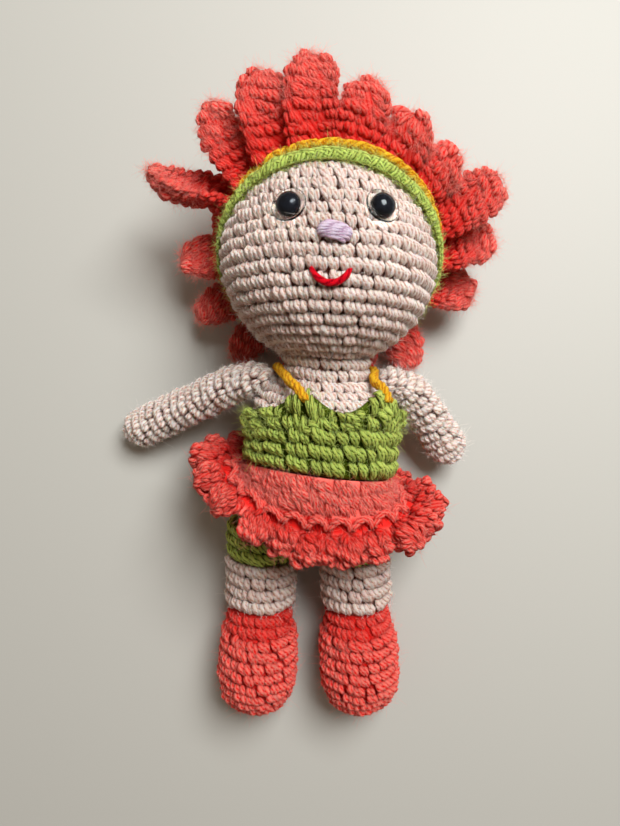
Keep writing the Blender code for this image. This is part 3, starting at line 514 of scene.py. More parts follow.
HEAD_RADIUS = 0.0408
HEAD_CHIN = 0.0385
STITCH_SINK = -0.0010
RIM_LEAN = math.radians(45.0)
RIM_TURN = np.array(Matrix.Rotation(math.radians(-5.0), 3, "Z"))
CAP_LINE = RIM_TURN @ (0.0, math.sin(RIM_LEAN), -math.cos(RIM_LEAN))
RIM_UP = RIM_TURN @ (0.0, math.cos(RIM_LEAN), math.sin(RIM_LEAN))
RIM_RIGHT = RIM_TURN @ (1.0, 0.0, 0.0)
EYE_RISE = math.radians(15.0)
EYE_SPREAD = math.radians(22.5)
EYES_TURN = math.radians(2.1)
EYE_HOLE = 0.0030
EYE_PRESS = 0.0021
EYE_PRESS_REACH = 0.0052
BARE_BACK = math.radians(9.0)
NECK_LEVEL = -0.0350
NECK_HOLE = 0.0125


def on_head(side_turn, rise, out=0.0):
    """A point off the face and its normal: side_turn is to the right of the front, and rise is towards the crown."""
    way = np.array((math.sin(side_turn) * math.cos(rise), math.sin(rise), math.cos(side_turn) * math.cos(rise)))
    sizes = np.array((HEAD_RADIUS, HEAD_RADIUS if rise > 0.0 else HEAD_CHIN, HEAD_RADIUS))
    point = way / np.linalg.norm(way / sizes)
    normal = normalised(point / sizes**2)
    return HEAD + point + normal * out, normal


rises = np.radians(np.linspace(-89.0, 89.0, 90))
heights = np.where(rises < 0.0, HEAD_CHIN, HEAD_RADIUS) * np.sin(rises)
head_form = swept(HEAD + HEAD_LINE * heights[:, None], HEAD_LINE, FRONT, HEAD_RADIUS * np.cos(rises))
EYES = {label: on_head(EYES_TURN + sign * EYE_SPREAD, EYE_RISE) for label, sign in (("left", -1.0), ("right", 1.0))}


def bare_face(points):
    """Leaves out the stitches that the cap, the neck and the eyes hide."""
    away = points - HEAD
    up = away @ HEAD_LINE
    shown = away @ CAP_LINE < HEAD_RADIUS * math.sin(BARE_BACK)
    shown &= (up > NECK_LEVEL) | (np.linalg.norm(away - up[:, None] * HEAD_LINE, axis=1) > NECK_HOLE)
    for point, _ in EYES.values():
        shown &= np.linalg.norm(points - point, axis=1) > EYE_HOLE
    return shown


def head_lumps(turn, at):
    """The fill pushes the fabric out unevenly, and the discs of the eyes press it in."""
    lumps = 0.0005 * np.sin(2.0 * turn + 0.6) * np.sin(at * 60.0) + 0.0004 * np.sin(3.0 * turn + at * 90.0)
    points = head_form(turn, at)
    for point, _ in EYES.values():
        lumps = lumps - EYE_PRESS * np.clip(1.6 - np.linalg.norm(points - point, axis=-1) / EYE_PRESS_REACH, 0.0, 1.0)
    return lumps


def chin_painted_shade(at):
    """Painted shade: the rounds from the neck to the chin are a little darker, where the chin turns away from the
    light.
    """
    return np.interp(at, (0.015, 0.050), (0.78, 1.0))


end = head_form.lengths[-1]
made = shade_lining(head_form, 0.0, end, out=-0.0026, turns=64, rows=40)
made += cover(head_form, 0.010, end - 0.006, 11, keep=bare_face, out=STITCH_SINK, bulge=head_lumps, shade=chin_painted_shade)
made += fuzz(head_form, 0.008, end - 0.03, 7000, 12, keep=bare_face, length=0.0016)
worked("head_crochet", "head", "skin_yarn", made, "head_shell", press=False)


# Safety eyes: a black dome moulded in a clear disc, whose ribbed rim stands on the stitches.
# The post behind each runs through the fabric to a washer inside the head, which stays as in the CAD.

EYE_RADIUS = 0.0062
EYE_SEAT = 0.0010
PUPIL_RADIUS = 0.0039
PUPIL_HEIGHT = 0.0028
GLASS_HEIGHT = 0.0029
RIB_DEPTH = 0.05
GLASS_RIM = ((4.4, 0.9), (5.3, 0.6), (5.6, 1.0), (6.0, 1.0), (6.2, 0.7), (6.2, 0.2), (6.0, 0.0), (0.0, 0.0))
PUPIL_POST = ((3.9, 0.3), (1.5, 0.3), (1.5, -12.0), (0.0, -12.0))
PLASTIC_IOR = 1.45
CLEAR_IOR = 1.32
CLEAR_TINT = (0.92, 0.93, 0.92)
# Painted reflection: the black plastic's reflections are tinted blue, as though a window were mirrored in it.
PAINTED_REFLECTION_TINT = (0.45, 0.62, 0.80)
GLOSS = 0.12


def plastic(name, colour, smoothest, roughest, scale, clear=False):
    """Moulded plastic. Handling marks make its roughness wander a little over the surface."""
    material, tree, shader = new_finish(name)
    where = added_node(tree, "ShaderNodeTexCoord").outputs["Object"]
    marks = added_node(tree, "ShaderNodeTexNoise", {"Vector": where, "Scale": scale}).outputs["Fac"]
    wander = added_node(tree, "ShaderNodeMapRange", {"Value": marks, "To Min": smoothest, "To Max": roughest})
    feed(tree, shader, {"Base Color": colour, "Roughness": wander.outputs["Result"]})
    if clear:
        feed(tree, shader, {"IOR": CLEAR_IOR, "Transmission Weight": 1.0})
        through = added_node(tree, "ShaderNodeBsdfTransparent", {"Color": CLEAR_TINT}).outputs[0]
        rays = added_node(tree, "ShaderNodeLightPath").outputs["Is Shadow Ray"]
        mix = added_node(tree, "ShaderNodeMixShader", {0: rays, 1: shader.outputs[0], 2: through})
        feed(tree, tree.nodes["Material Output"], {"Surface": mix.outputs[0]})
    else:
        feed(tree, shader, {"IOR": PLASTIC_IOR, "Specular Tint": PAINTED_REFLECTION_TINT, "Specular IOR Level": GLOSS})
    return material


BLACK_PLASTIC = plastic("black_plastic_gloss", (0.004, 0.005, 0.008), 0.12, 0.22, 400.0)
CLEAR_PLASTIC = plastic("clear_plastic_gloss", (0.95, 0.96, 0.95), 0.05, 0.12, 300.0, clear=True)
WASHER_PLASTIC = plastic("washer_plastic_white", (0.75, 0.75, 0.72), 0.30, 0.50, 300.0)


def finished(node, material):
    """Gives a CAD piece that stays as it is its material."""
    node.data.materials.clear()
    node.data.materials.append(material)


def ribbed(dot, count):
    """Moves a corner of the disc's rim in, where a groove between two ribs is."""
    if math.hypot(dot.co.x, dot.co.y) > EYE_RADIUS * 0.9 and dot.co.z < 0.6 * MM:
        wave = 1.0 - RIB_DEPTH * (0.5 + 0.5 * math.cos(count * math.atan2(dot.co.y, dot.co.x)))
        dot.co.x *= wave
        dot.co.y *= wave


def spun(name, node, top, rim, steps, place, normal, slot, material, ribs=False):
    """A profile of radius and height from the axis over the top and down to the axis, spun round the eye's line."""
    shape = bmesh.new()
    profile = top + [(radius * MM, height * MM) for radius, height in rim]
    dots = [shape.verts.new((radius, 0.0, height)) for radius, height in profile]
    edges = [shape.edges.new(pair) for pair in zip(dots, dots[1:])]
    around = {"cent": (0, 0, 0), "axis": (0, 0, 1), "angle": 2.0 * math.pi, "steps": steps}
    bmesh.ops.spin(shape, geom=dots + edges, use_duplicate=False, **around)
    bmesh.ops.remove_doubles(shape, verts=shape.verts, dist=0.004 * MM)
    bmesh.ops.recalc_face_normals(shape, faces=shape.faces)
    if ribs:
        for dot in shape.verts:
            ribbed(dot, steps / 3.0)
    turn = Vector(normal).to_track_quat("Z", "Y").to_matrix().to_4x4()
    shape.transform(Matrix.Translation(Vector(place)) @ turn)
    mesh = bpy.data.meshes.new(name)
    shape.to_mesh(mesh)
    shape.free()
    mesh.shade_smooth()
    mesh.materials.append(material)
    obj = linked_object(name, mesh)
    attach(obj, "head")
    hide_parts(node)


def dome(radius, height, foot):
    """A quarter of an oval, from the axis down to its edge."""
    turns = np.radians(np.linspace(0.0, 90.0, 10))
    return [(radius * math.sin(turn), foot + height * math.cos(turn)) for turn in turns]


glass = dome(PUPIL_RADIUS + 0.3 * MM, GLASS_HEIGHT, 1.4 * MM)
black = dome(PUPIL_RADIUS, PUPIL_HEIGHT, 1.0 * MM)
for label, (point, normal) in EYES.items():
    eye = f"eye_{label}"
    seat = point + normal * EYE_SEAT
    rimmed = (f"{eye}_clear_dome", f"{eye}_lens", glass, GLASS_RIM, 96)
    spun(*rimmed, seat, normal, "clear_plastic", CLEAR_PLASTIC, ribs=True)
    posted = (f"{eye}_black_dome", f"{eye}_pupil", black, PUPIL_POST, 64)
    spun(*posted, seat, normal, "black_plastic", BLACK_PLASTIC)
    finished(frame["nodes"][f"{eye}_washer"], WASHER_PLASTIC)


# Nose and mouth: yarn sewn on with a needle. The nose is six satin stitches one above another in lilac,
# and the mouth is one red strand laid in a curve and caught down at its middle.

yarn("lilac", (0.86, 0.68, 0.84), (0.46, 0.26, 0.42), (0.40, 0.20, 0.36), plies=3.0, twist=2.4, sheen=0.4)
yarn("red", (0.78, 0.006, 0.02), (0.26, 0.0, 0.006), (0.3, 0.2, 0.2), plies=3.0, twist=2.6, sheen=0.1)


def sewn(points, radius, rings, tone=1.0):
    """A single strand that dips into the fabric at both ends."""
    line = smooth_row(points, rings)
    ends = np.minimum(1.0, 0.62 + 2.4 * np.minimum(np.linspace(0, 1, rings), np.linspace(1, 0, rings)))
    drawn = strand(line, radius * ends, 8)
    return [(drawn[0], np.full(len(drawn[0]), tone), bundle([drawn]), 1)]


NOSE_TURN = math.radians(1.2)
NOSE_RISE = math.radians(1.8)
NOSE_STRANDS = 6
NOSE_SPREAD = math.radians(7.8)
NOSE_SHIFT = math.radians(0.8)
NOSE_GAP = math.radians(2.8)
NOSE_SLANT = math.radians(1.5)
NOSE_THREAD = 0.00094
made = []
for i in range(NOSE_STRANDS):
    share = 2.0 * i / (NOSE_STRANDS - 1.0) - 1.0
    half = 0.50 + 0.50 * math.sqrt(1.0 - (0.92 * share) ** 2)
    route = []
    for along in (-1.0, -0.8, -0.3, 0.3, 0.8, 1.0):
        turn = NOSE_TURN + NOSE_SPREAD * half * along + NOSE_SHIFT * share
        rise = NOSE_RISE + NOSE_GAP * share - NOSE_SLANT * along
        out = 0.0007 + 0.0017 * (1.0 - along**2) * half if abs(along) < 1.0 else -0.0010
        route.append(on_head(turn, rise, out)[0])
    made += sewn(route, NOSE_THREAD, 16, 1.0 + 0.06 * math.sin(5.0 * i))
worked("nose_satin_stitches", "head", "lilac_yarn", made, "nose", press=False)

MOUTH_TURN = math.radians(-0.4)
MOUTH_RISE = math.radians(-14.3)
MOUTH_DROP = math.radians(6.8)
MOUTH_SPREAD = math.radians(9.9)
MOUTH_THREAD = 0.00122
route = []
for along in np.linspace(-1.0, 1.0, 9):
    out = 0.0011 if abs(along) < 1.0 else -0.0006
    rise = MOUTH_RISE - MOUTH_DROP * (1.0 - abs(along) ** 2.3)
    route.append(on_head(MOUTH_TURN + MOUTH_SPREAD * along, rise, out)[0])
worked("mouth_strand", "head", "red_yarn", sewn(route, MOUTH_THREAD, 40), "mouth", press=False)


# Bonnet: a green round and a yellow round frame the face, and coral rounds cover the back of the head.
# The green one is two rounds of loops that lie like a braid along the edge.

yarn("green", (0.64, 0.78, 0.18), (0.07, 0.11, 0.003), (0.06, 0.08, 0.01))
yarn("yellow", (0.95, 0.52, 0.03), (0.55, 0.17, 0.004), (0.45, 0.18, 0.05), twist=1.8)
yarn("coral", (1.0, 0.205, 0.165), (0.88, 0.0, 0.0), (0.74, 0.0, 0.0), glow=0.4)


def ring_form(back, width, thickness, swell=0.0):
    """An oval cord along the rim: the turn goes round the cord from its outer side, and the length round the head."""
    angles = np.linspace(0.0, 2.0 * np.pi, 161)
    across = RIM_UP * np.cos(angles)[:, None] + RIM_RIGHT * np.sin(angles)[:, None]
    outward = across * math.cos(back) + CAP_LINE * math.sin(back)
    reach = HEAD_RADIUS + 0.0003 + thickness / 2.0 + swell * np.cos(angles - 0.6)
    centres = HEAD + outward * reach[:, None]
    along = RIM_RIGHT * np.cos(angles)[:, None] - RIM_UP * np.sin(angles)[:, None]
    return swept(centres, along, outward, width / 2.0, thickness / 2.0)


BAND_BACK = math.radians(3.8)
BAND_WIDTH = 0.0108
BAND_THICKNESS = 0.0028
ROUND_BACK = math.radians(13.8)
ROUND_WIDTH = 0.0050
ROUND_THICKNESS = 0.0036
BRAID_LOOP = (
    (-0.98, -0.0034, -1.3),
    (-0.80, -0.0018, -0.1),
    (-0.42, 0.0004, 0.42),
    (-0.02, 0.0024, 0.25),
    (0.22, 0.0038, -1.3),
)
BRAID_YARN = 0.00128


def braid(place, width, count, seed, fat):
    """Two lines of slanted loops that meet along the middle of a cord, as a chain edge shows them."""
    route = smooth_row(BRAID_LOOP, 7)
    draw = np.random.default_rng(seed)
    length = place.lengths[-1]
    made = []
    for row, sign in ((0.34, 1.0), (-0.34, -1.0)):
        across = (route[:, 0] * sign + row) * 1.15
        radii = BRAID_YARN * fat * np.array((0.5, 0.85, 1.05, 1.12, 1.08, 0.9, 0.5))
        loop = strand(np.column_stack([across * width / 2.0, route[:, 1], route[:, 2] * MM]), radii, 6)
        corners = loop[0]
        at = (np.arange(count) + (0.5 if sign < 0 else 0.0) + draw.normal(0.0, 0.08, count)) * length / count
        turn = corners[:, 0] / width * 2.0 + draw.normal(0.0, 0.06, (count, 1))
        along = np.mod(at[:, None] + corners[:, 1] * draw.normal(1.0, 0.08, (count, 1)), length)
        points = lifted(place, turn, along, corners[:, 2] - 0.9 * MM + draw.normal(0.0, 0.22 * MM, (count, 1)))
        tones = np.repeat(draw.normal(1.0, 0.09, count), len(corners))
        made.append((points.reshape(-1, 3), tones, bundle([loop]), count))
    return made


band_form = ring_form(BAND_BACK, BAND_WIDTH, BAND_THICKNESS)
end = band_form.lengths[-1]
made = shade_lining(band_form, 0.0, end, out=-0.0009, turns=14, rows=120, tone=0.45)
made += braid(band_form, BAND_WIDTH, 104, 21, 0.98)
made += fuzz(band_form, 0.0, end, 6000, 22, out=0.0001)
worked("bonnet_green_braid", "head", "green_yarn", made, "bonnet_band")

yellow_form = ring_form(ROUND_BACK, ROUND_WIDTH, ROUND_THICKNESS, swell=0.0008)
end = yellow_form.lengths[-1]
made = shade_lining(yellow_form, 0.0, end, out=-0.0010, turns=12, rows=120)
made += braid(yellow_form, ROUND_WIDTH, 56, 23, 1.2)
made += fuzz(yellow_form, 0.0, end, 1500, 24, length=0.0015, out=-0.0004)
worked("bonnet_yellow_chain", "head", "yellow_yarn", made, "bonnet_yellow_round")


def fabric_sheet(place, first, last, thickness, tone, turns=120, rows=16, out=-0.0004):
    """An open ring of fabric with an outer and an inner side, toned dark as painted shade where it shows between
    stitches.
    """
    half = rows * turns
    corners = np.vstack([grid(place, first, last, turns, rows, depth) for depth in (out, -thickness)])
    faces = []
    for quad in ring_quads(rows, turns):
        faces += [quad, tuple(half + q for q in reversed(quad))]
    top = half - turns
    for k in range(turns):
        after = (k + 1) % turns
        faces.append((k, half + k, half + after, after))
        faces.append((top + k, top + after, half + top + after, half + top + k))
    shape = bundle([(corners, faces, [(0.0, 0.0)] * sum(len(face) for face in faces))])
    return [(corners, np.tile(np.repeat(np.broadcast_to(tone, rows), turns), 2), shape, 1)]


CAP_RADIUS = 0.0447
cap_turns = np.radians(np.linspace(77.0, 1.0, 60))
cap_heights = CAP_RADIUS * np.cos(cap_turns)
cap_form = swept(HEAD + CAP_LINE * cap_heights[:, None], CAP_LINE, RIM_UP, CAP_RADIUS * np.sin(cap_turns))
end = cap_form.lengths[-1]
cloth = fabric_sheet(cap_form, 0.0, end, 0.0030, 0.15, turns=90, rows=30, out=-0.0018)
made = cover(cap_form, 0.0008, end - 0.004, 25, (0.0052, 0.0050), out=-0.0008)

PETAL_BACK = math.radians(21.0)
BRIM_BACK = 0.0027
brim_out = CAP_RADIUS + np.linspace(-0.0008, 0.0096, 12)
brim_radii = brim_out * math.cos(PETAL_BACK) - BRIM_BACK * math.sin(PETAL_BACK)
brim_heights = brim_out * math.sin(PETAL_BACK) + BRIM_BACK * math.cos(PETAL_BACK)
brim_form = swept(HEAD + CAP_LINE * brim_heights[:, None], CAP_LINE, RIM_UP, brim_radii)
end = brim_form.lengths[-1]
cloth += fabric_sheet(brim_form, 0.0, end, 0.0020, 0.6, turns=90, rows=6)
made += cover(brim_form, 0.0, end, 26, (0.0034, 0.0032), out=-0.0008, keep=lambda points: points[:, 2] > 0.002)
made += fuzz(brim_form, 0.0, end, 1600, 27)
laid = {"flat": (0.130, 0.130), "area": 0.0126, "held": "stretched", "rests_on": ["head_crochet"]}
spread("bonnet_cap", "head", "coral_yarn", made, cloth, **laid)


# Petals of the bonnet: leaves of coral fabric, each worked back and forth and cupped along its middle.
# They stand on the cap behind the yellow round, lean clockwise and curl at their blunt tips.

PETAL_LENGTH = 0.0360
PETAL_WIDTH = 0.0185
PETAL_THICKNESS = 0.0068
PETAL_CUP = 0.0046
PETAL_REACHED = (0.0, 0.16, 0.36, 0.54, 0.70, 0.82, 0.91, 0.97, 1.0)
PETAL_SPREAD = (1.0, 0.97, 1.0, 1.0, 0.93, 0.78, 0.58, 0.36, 0.16)
PETALS = (
    (-72.0, 0.86, 1.2, (-0.90, 0.38, 0.22), (-0.22, -0.22, -0.04), (0.25, 0.65, 0.70)),
    (-52.0, 0.84, 1.0, (-0.35, 0.76, 0.14), (-0.18, 0.00, 0.06), (0.10, -0.30, 1.00)),
    (-33.0, 0.98, 1.0, (-0.12, 0.85, 0.08), (-0.10, 0.02, 0.10), (0.00, -0.30, 1.00)),
    (-13.0, 1.00, 1.0, (0.02, 0.91, 0.02), (-0.06, 0.04, 0.10), (0.00, -0.30, 1.00)),
    (8.0, 1.02, -0.6, (0.22, 0.66, 0.01), (0.00, 0.06, 0.14), (0.20, 0.10, 1.00)),
    (29.0, 1.02, -0.6, (0.33, 0.42, 0.05), (0.02, 0.06, 0.14), (0.20, 0.10, 1.00)),
    (49.0, 0.98, -0.6, (0.47, 0.31, -0.00), (0.00, 0.06, 0.10), (0.20, 0.10, 1.00)),
    (69.0, 1.02, 0.5, (0.82, 0.41, -0.04), (0.06, 0.00, 0.14), (-0.20, -0.40, 1.00)),
    (89.0, 0.98, 0.8, (0.79, 0.17, -0.16), (0.04, 0.02, 0.04), (-0.30, 0.00, 1.00)),
    (111.5, 0.98, 0.8, (0.73, -0.14, -0.16), (0.04, 0.02, 0.02), (-0.30, 0.20, 1.00)),
    (139.0, 0.90, 0.4, (0.31, -0.74, -0.07), (0.10, 0.02, 0.00), (0.00, 0.00, 1.00)),
    (158.0, 0.70, 0.4, (0.10, -0.66, 0.00), (0.00, 0.00, 0.00), (0.00, 0.00, 1.00)),
    (176.0, 0.70, 0.4, (0.00, -0.66, 0.00), (0.00, 0.00, 0.00), (0.00, 0.00, 1.00)),
    (194.0, 0.70, 0.4, (-0.10, -0.66, 0.00), (0.00, 0.00, 0.00), (0.00, 0.00, 1.00)),
    (209.0, 0.86, 0.5, (-0.56, -0.63, 0.03), (-0.06, 0.02, 0.00), (0.00, 0.00, 1.00)),
    (230.0, 0.92, 0.8, (-0.72, -0.32, -0.02), (-0.02, 0.00, 0.02), (0.20, 0.20, 1.00)),
    (253.0, 0.96, 0.8, (-0.67, 0.01, -0.02), (-0.02, 0.02, 0.04), (0.20, 0.20, 1.00)),
)


def petal_form(degrees, width, cup, reach, bow, face):
    """A cupped leaf from its tip to its foot on the cap."""
    turn = math.radians(degrees)
    outward = RIM_RIGHT * math.sin(turn) + RIM_UP * math.cos(turn)
    outward = outward * math.cos(PETAL_BACK) + CAP_LINE * math.sin(PETAL_BACK)
    base = HEAD + outward * (CAP_RADIUS - 0.0012)
    tip = base + np.array(reach) * PETAL_LENGTH
    lead = base + outward * PETAL_LENGTH / 3.0
    bend = base + (tip - base) * 0.6 + np.array(bow) * PETAL_LENGTH
    s = np.linspace(1.0, 0.0, 48)[:, None]
    r = 1.0 - s
    line = base * r**3 + 3.0 * lead * r * r * s + 3.0 * bend * r * s * s + tip * s**3
    line[:, 2] = np.maximum(line[:, 2], 0.0022)
    ahead = normalised(-np.gradient(line, axis=0))
    across = normalised(np.cross(ahead, np.array(face)))
    up = np.cross(across, ahead)
    share = np.interp(s[:, 0], PETAL_REACHED, PETAL_SPREAD)
    wide = share * width * PETAL_WIDTH / 2.0
    deep = PETAL_THICKNESS / 2.0 * (1.0 - 0.1 * s[:, 0]) * np.minimum(1.0, share * 1.4)
    bent = up * (PETAL_CUP * cup * share)[:, None]
    return ring_surface(row_lengths(line), line, across * wide[:, None], up * deep[:, None], bent)


PETAL_STITCH = stitch_shape(foot=0.5, wide=0.92, fat=0.80, slant=-0.22, flat=0.62)
for number, shares in enumerate(PETALS, 1):
    leaf = petal_form(*shares)
    end = leaf.lengths[-1]

    # Painted light and shade: each petal is toned lighter at its tip, where light falls, and darker at its foot, shaded
    # on the cap.
    def lit_tip_shaded_foot(at):
        return np.interp(at / end, (0.0, 0.25, 0.55, 0.85), (1.30, 1.05, 0.62, 0.30))

    look = {"out": -0.0004, "shade": lit_tip_shaded_foot}
    made = shade_lining(leaf, 0.0, end, turns=22, rows=24, tone=0.6, **look)
    made += cover(leaf, 0.0010, end - 0.0005, 300 + number, (0.0037, 0.0036), shape=PETAL_STITCH, loose=2.6, **look)
    made += fuzz(leaf, 0.0, end * 0.6, 1400, 330 + number, length=0.0024)
    worked(f"petal_{number:02d}_crochet", "head", "coral_yarn", made, f"petal_{number:02d}")


# Torso: skin-coloured rounds from the waist to the neck, and green rounds below the waist.
# The bodice hides the lower chest, so only the rounds of the neck and the shoulders are worked out.

WAIST = HEAD + np.array((-0.0031, -0.0784, -0.0123))
NECK = WAIST + np.array((0.0024, 0.0393, 0.0059))
TORSO_LINE = normalised(NECK - WAIST)
TORSO_ROLL = math.radians(14.0)
TORSO_FRONT = np.array(Matrix.Rotation(TORSO_ROLL, 3, Vector(TORSO_LINE)) @ Vector(FRONT))
TORSO_RIGHT = np.cross(TORSO_LINE, TORSO_FRONT)
WAIST_RADIUS = 0.0268
CHEST_RADIUS = 0.0276
NECK_RADIUS = 0.0170
SHOULDER_START = 0.0215
NECK_BASE = 0.0360
HIP_START = 0.0120
HIP_DEPTH = 0.0280


def torso_radius(height):
    """Radius at heights over the waist."""
    height = np.asarray(height, float)
    part = np.clip((height - SHOULDER_START) / (NECK_BASE - SHOULDER_START), 0.0, 1.0)
    upper = NECK_RADIUS + (CHEST_RADIUS - NECK_RADIUS) * (1.0 + np.cos(np.pi * part**1.3)) / 2.0
    middle = WAIST_RADIUS + (CHEST_RADIUS - WAIST_RADIUS) * np.clip(height, 0.0, SHOULDER_START) / SHOULDER_START
    fall = np.clip((-HIP_START - height) / (HIP_DEPTH - HIP_START), 0.0, 0.9995)
    lower = WAIST_RADIUS * np.sqrt(1.0 - fall**2)
    return np.where(height > SHOULDER_START, upper, np.where(height > -HIP_START, middle, lower))


def torso_form(low, high, count):
    levels = np.linspace(low, high, count)
    return swept(WAIST + TORSO_LINE * levels[:, None], TORSO_LINE, TORSO_FRONT, torso_radius(levels))


def round_torso(turn, level, radius):
    """Points at turns from the torso's front, heights over the waist and distances from its line."""
    turn, level, radius = (np.asarray(each)[..., None] for each in (turn, level, radius))
    return WAIST + TORSO_LINE * level + (TORSO_FRONT * np.cos(turn) + TORSO_RIGHT * np.sin(turn)) * radius


def off_torso(turn, level, out):
    """Points off the torso's surface."""
    slope = np.arctan((torso_radius(level + 0.3 * MM) - torso_radius(level - 0.3 * MM)) / (0.6 * MM))
    return round_torso(turn, level - out * np.sin(slope), torso_radius(level) + out * np.cos(slope))


def outside_head(points):
    away = points - HEAD
    return np.linalg.norm(away / (HEAD_RADIUS, HEAD_CHIN, HEAD_RADIUS), axis=1) > 0.97


neck_form = torso_form(0.0, 0.0445, 60)
end = neck_form.lengths[-1]
made = shade_lining(neck_form, 0.0, end, out=-0.0024)
made += cover(neck_form, 0.017, end - 0.001, 41, (0.0044, 0.0044), keep=outside_head, out=STITCH_SINK)
made += fuzz(neck_form, 0.018, end - 0.008, 500, 42)
worked("chest_crochet", "torso", "skin_yarn", made, "chest_shell")

hip_form = torso_form(-HIP_DEPTH + 0.0002, -0.0002, 70)
end = hip_form.lengths[-1]
made = shade_lining(hip_form, 0.0, end, out=-0.0028)
made += cover(hip_form, 0.006, end - 0.012, 43, (0.0052, 0.0052), out=-0.0018)
worked("pants_crochet", "torso", "green_yarn", made, "pants")


# Bodice: a tube of green rounds with two raised peaks at the neckline, where the yellow halter is tied.
# Its rounds show as ridges of slanted strands, and the last row fans out loosely into the peaks.

BODICE_OUT = 0.0034
BODICE_DROP = 0.0030
PEAK_TURN = math.radians(30.0)
PEAK_SPREAD = math.radians(17.0)
PEAK_RISE = 0.0052
PEAK_DIP = 0.0015
NECKLINE = 0.0220
FAN_START = 0.0135
FAN_END = 0.0225


def neckline(turn):
    """Height of the bodice's edge over the waist at turns from the front."""
    turn = np.mod(np.asarray(turn) + np.pi, 2.0 * np.pi) - np.pi
    hump = np.exp(-(((np.abs(turn) - PEAK_TURN) / PEAK_SPREAD) ** 2))
    dip = np.exp(-((turn / PEAK_SPREAD) ** 2))
    return NECKLINE + PEAK_RISE * hump - PEAK_DIP * dip


def waist_tilt(turn):
    """The lower edge of the bodice sits higher on the doll's right side than on its left."""
    return 0.0006 - 0.0012 * np.cos(turn) - 0.0028 * np.sin(turn)


def bodice_place(turn, at):
    """Lengths run up to the level of the lowest neckline, and past it they fan out to the edge."""
    turn, at = np.broadcast_arrays(turn, at)
    level = at - BODICE_DROP + waist_tilt(turn) * np.clip(1.0 - at / 0.0165, 0.0, 1.0)
    part = np.clip((level - FAN_START) / (FAN_END - FAN_START), 0.0, 1.2)
    level = np.where(level > FAN_START, FAN_START + (neckline(turn) - FAN_START) * part, level)
    return off_torso(turn, level, BODICE_OUT)


bodice_place.lengths = np.array((0.0, 0.0255))
RIDGE_STITCH = stitch_shape(foot=0.26, wide=0.98, fat=0.80, slant=-0.30)
FAN_STITCH = stitch_shape(foot=0.5, wide=1.1, fat=0.72, slant=-0.34)
# Painted shade: the bodice's stitches are toned darker, as the chin shades them, and its sheet is toned black where it
# shows between rows.
ridges = {"size": (0.0054, 0.0046), "shape": RIDGE_STITCH, "loose": 1.5, "shade": 0.80}
fans = {"size": (0.0042, 0.0042), "shape": FAN_STITCH, "loose": 4.0, "shade": 0.85}
cloth = fabric_sheet(bodice_place, 0.0, 0.0250, 0.0026, 0.0, turns=72, rows=20, out=-0.0014)
made = cover(bodice_place, 0.0004, 0.0168, 51, **ridges)
made += cover(bodice_place, 0.0166, 0.0250, 53, out=0.0003, **fans)
made += fuzz(bodice_place, 0.001, 0.0170, 1500, 52)
made += fuzz(bodice_place, 0.0160, 0.0252, 1500, 54, length=0.0030, out=0.0010)
laid = {"flat": (0.190, 0.0250), "held": "stretched", "rests_on": ["chest_crochet"]}
spread("bodice", "torso", "green_yarn", made, cloth, **laid)


# Halter: one cord of two twisted yellow strands, tied through each peak of the bodice and round the neck.
# It is sewn down at both ends, and its route lists turns in degrees and heights in shares of the neck's base.

STRAP_RADIUS = 0.0020
STRAP_SEAT = 0.0009
STRAP_LIFT = 0.0028
STRAP_TURNS = (33, 35, 41.5, 50, 62, 84, 115, 150, 180, 210, 245, 270, 286, 299, 313, 325, 334)
STRAP_SHARES = (0.67, 0.76, 0.84, 0.91, 0.98, 1.07, 1.07, 0.99, 0.96, 0.99, 1.07, 1.07, 0.98, 0.90, 0.82, 0.74, 0.66)


def twisted_cord(line, radius, turns, seed, fat=0.60):
    """Two plies wound round each other along a line."""
    ahead = normalised(np.gradient(line, axis=0))
    side = np.cross(ahead[0], FRONT)
    sides = []
    for way in ahead:
        side = normalised(side - way * np.dot(side, way))
        sides.append(side)
    sides = np.array(sides)
    ups = np.cross(ahead, sides)
    draw = np.random.default_rng(seed)
    made = []
    for start in (0.0, 0.5):
        angle = 2.0 * np.pi * (turns * np.linspace(0.0, 1.0, len(line)) + start)
        path = line + (sides * np.cos(angle)[:, None] + ups * np.sin(angle)[:, None]) * radius * (1.0 - fat)
        ply = strand(path, radius * fat * draw.normal(1.0, 0.03, len(line)), 7)
        made.append((ply[0], np.full(len(ply[0]), 1.0), bundle([ply]), 1))
    return made


shares = np.array(STRAP_SHARES)
seats = STRAP_SEAT + STRAP_RADIUS + STRAP_LIFT * np.clip((0.84 - shares) / 0.12, 0.0, 1.0)
strap_points = off_torso(np.radians(STRAP_TURNS), shares * NECK_BASE, seats)
made = twisted_cord(smooth_row(strap_points, 150), STRAP_RADIUS, 19.0, 61, fat=0.64)
worked("halter_cord", "torso", "yellow_yarn", made, "halter_strap")


# Skirt: a plain coral band under the bodice, a round of arches over eyelets, and a frill of bobbles.
# It is one draped piece of single fabric. HEM lists how far out and how far down its edge lies, by degrees.

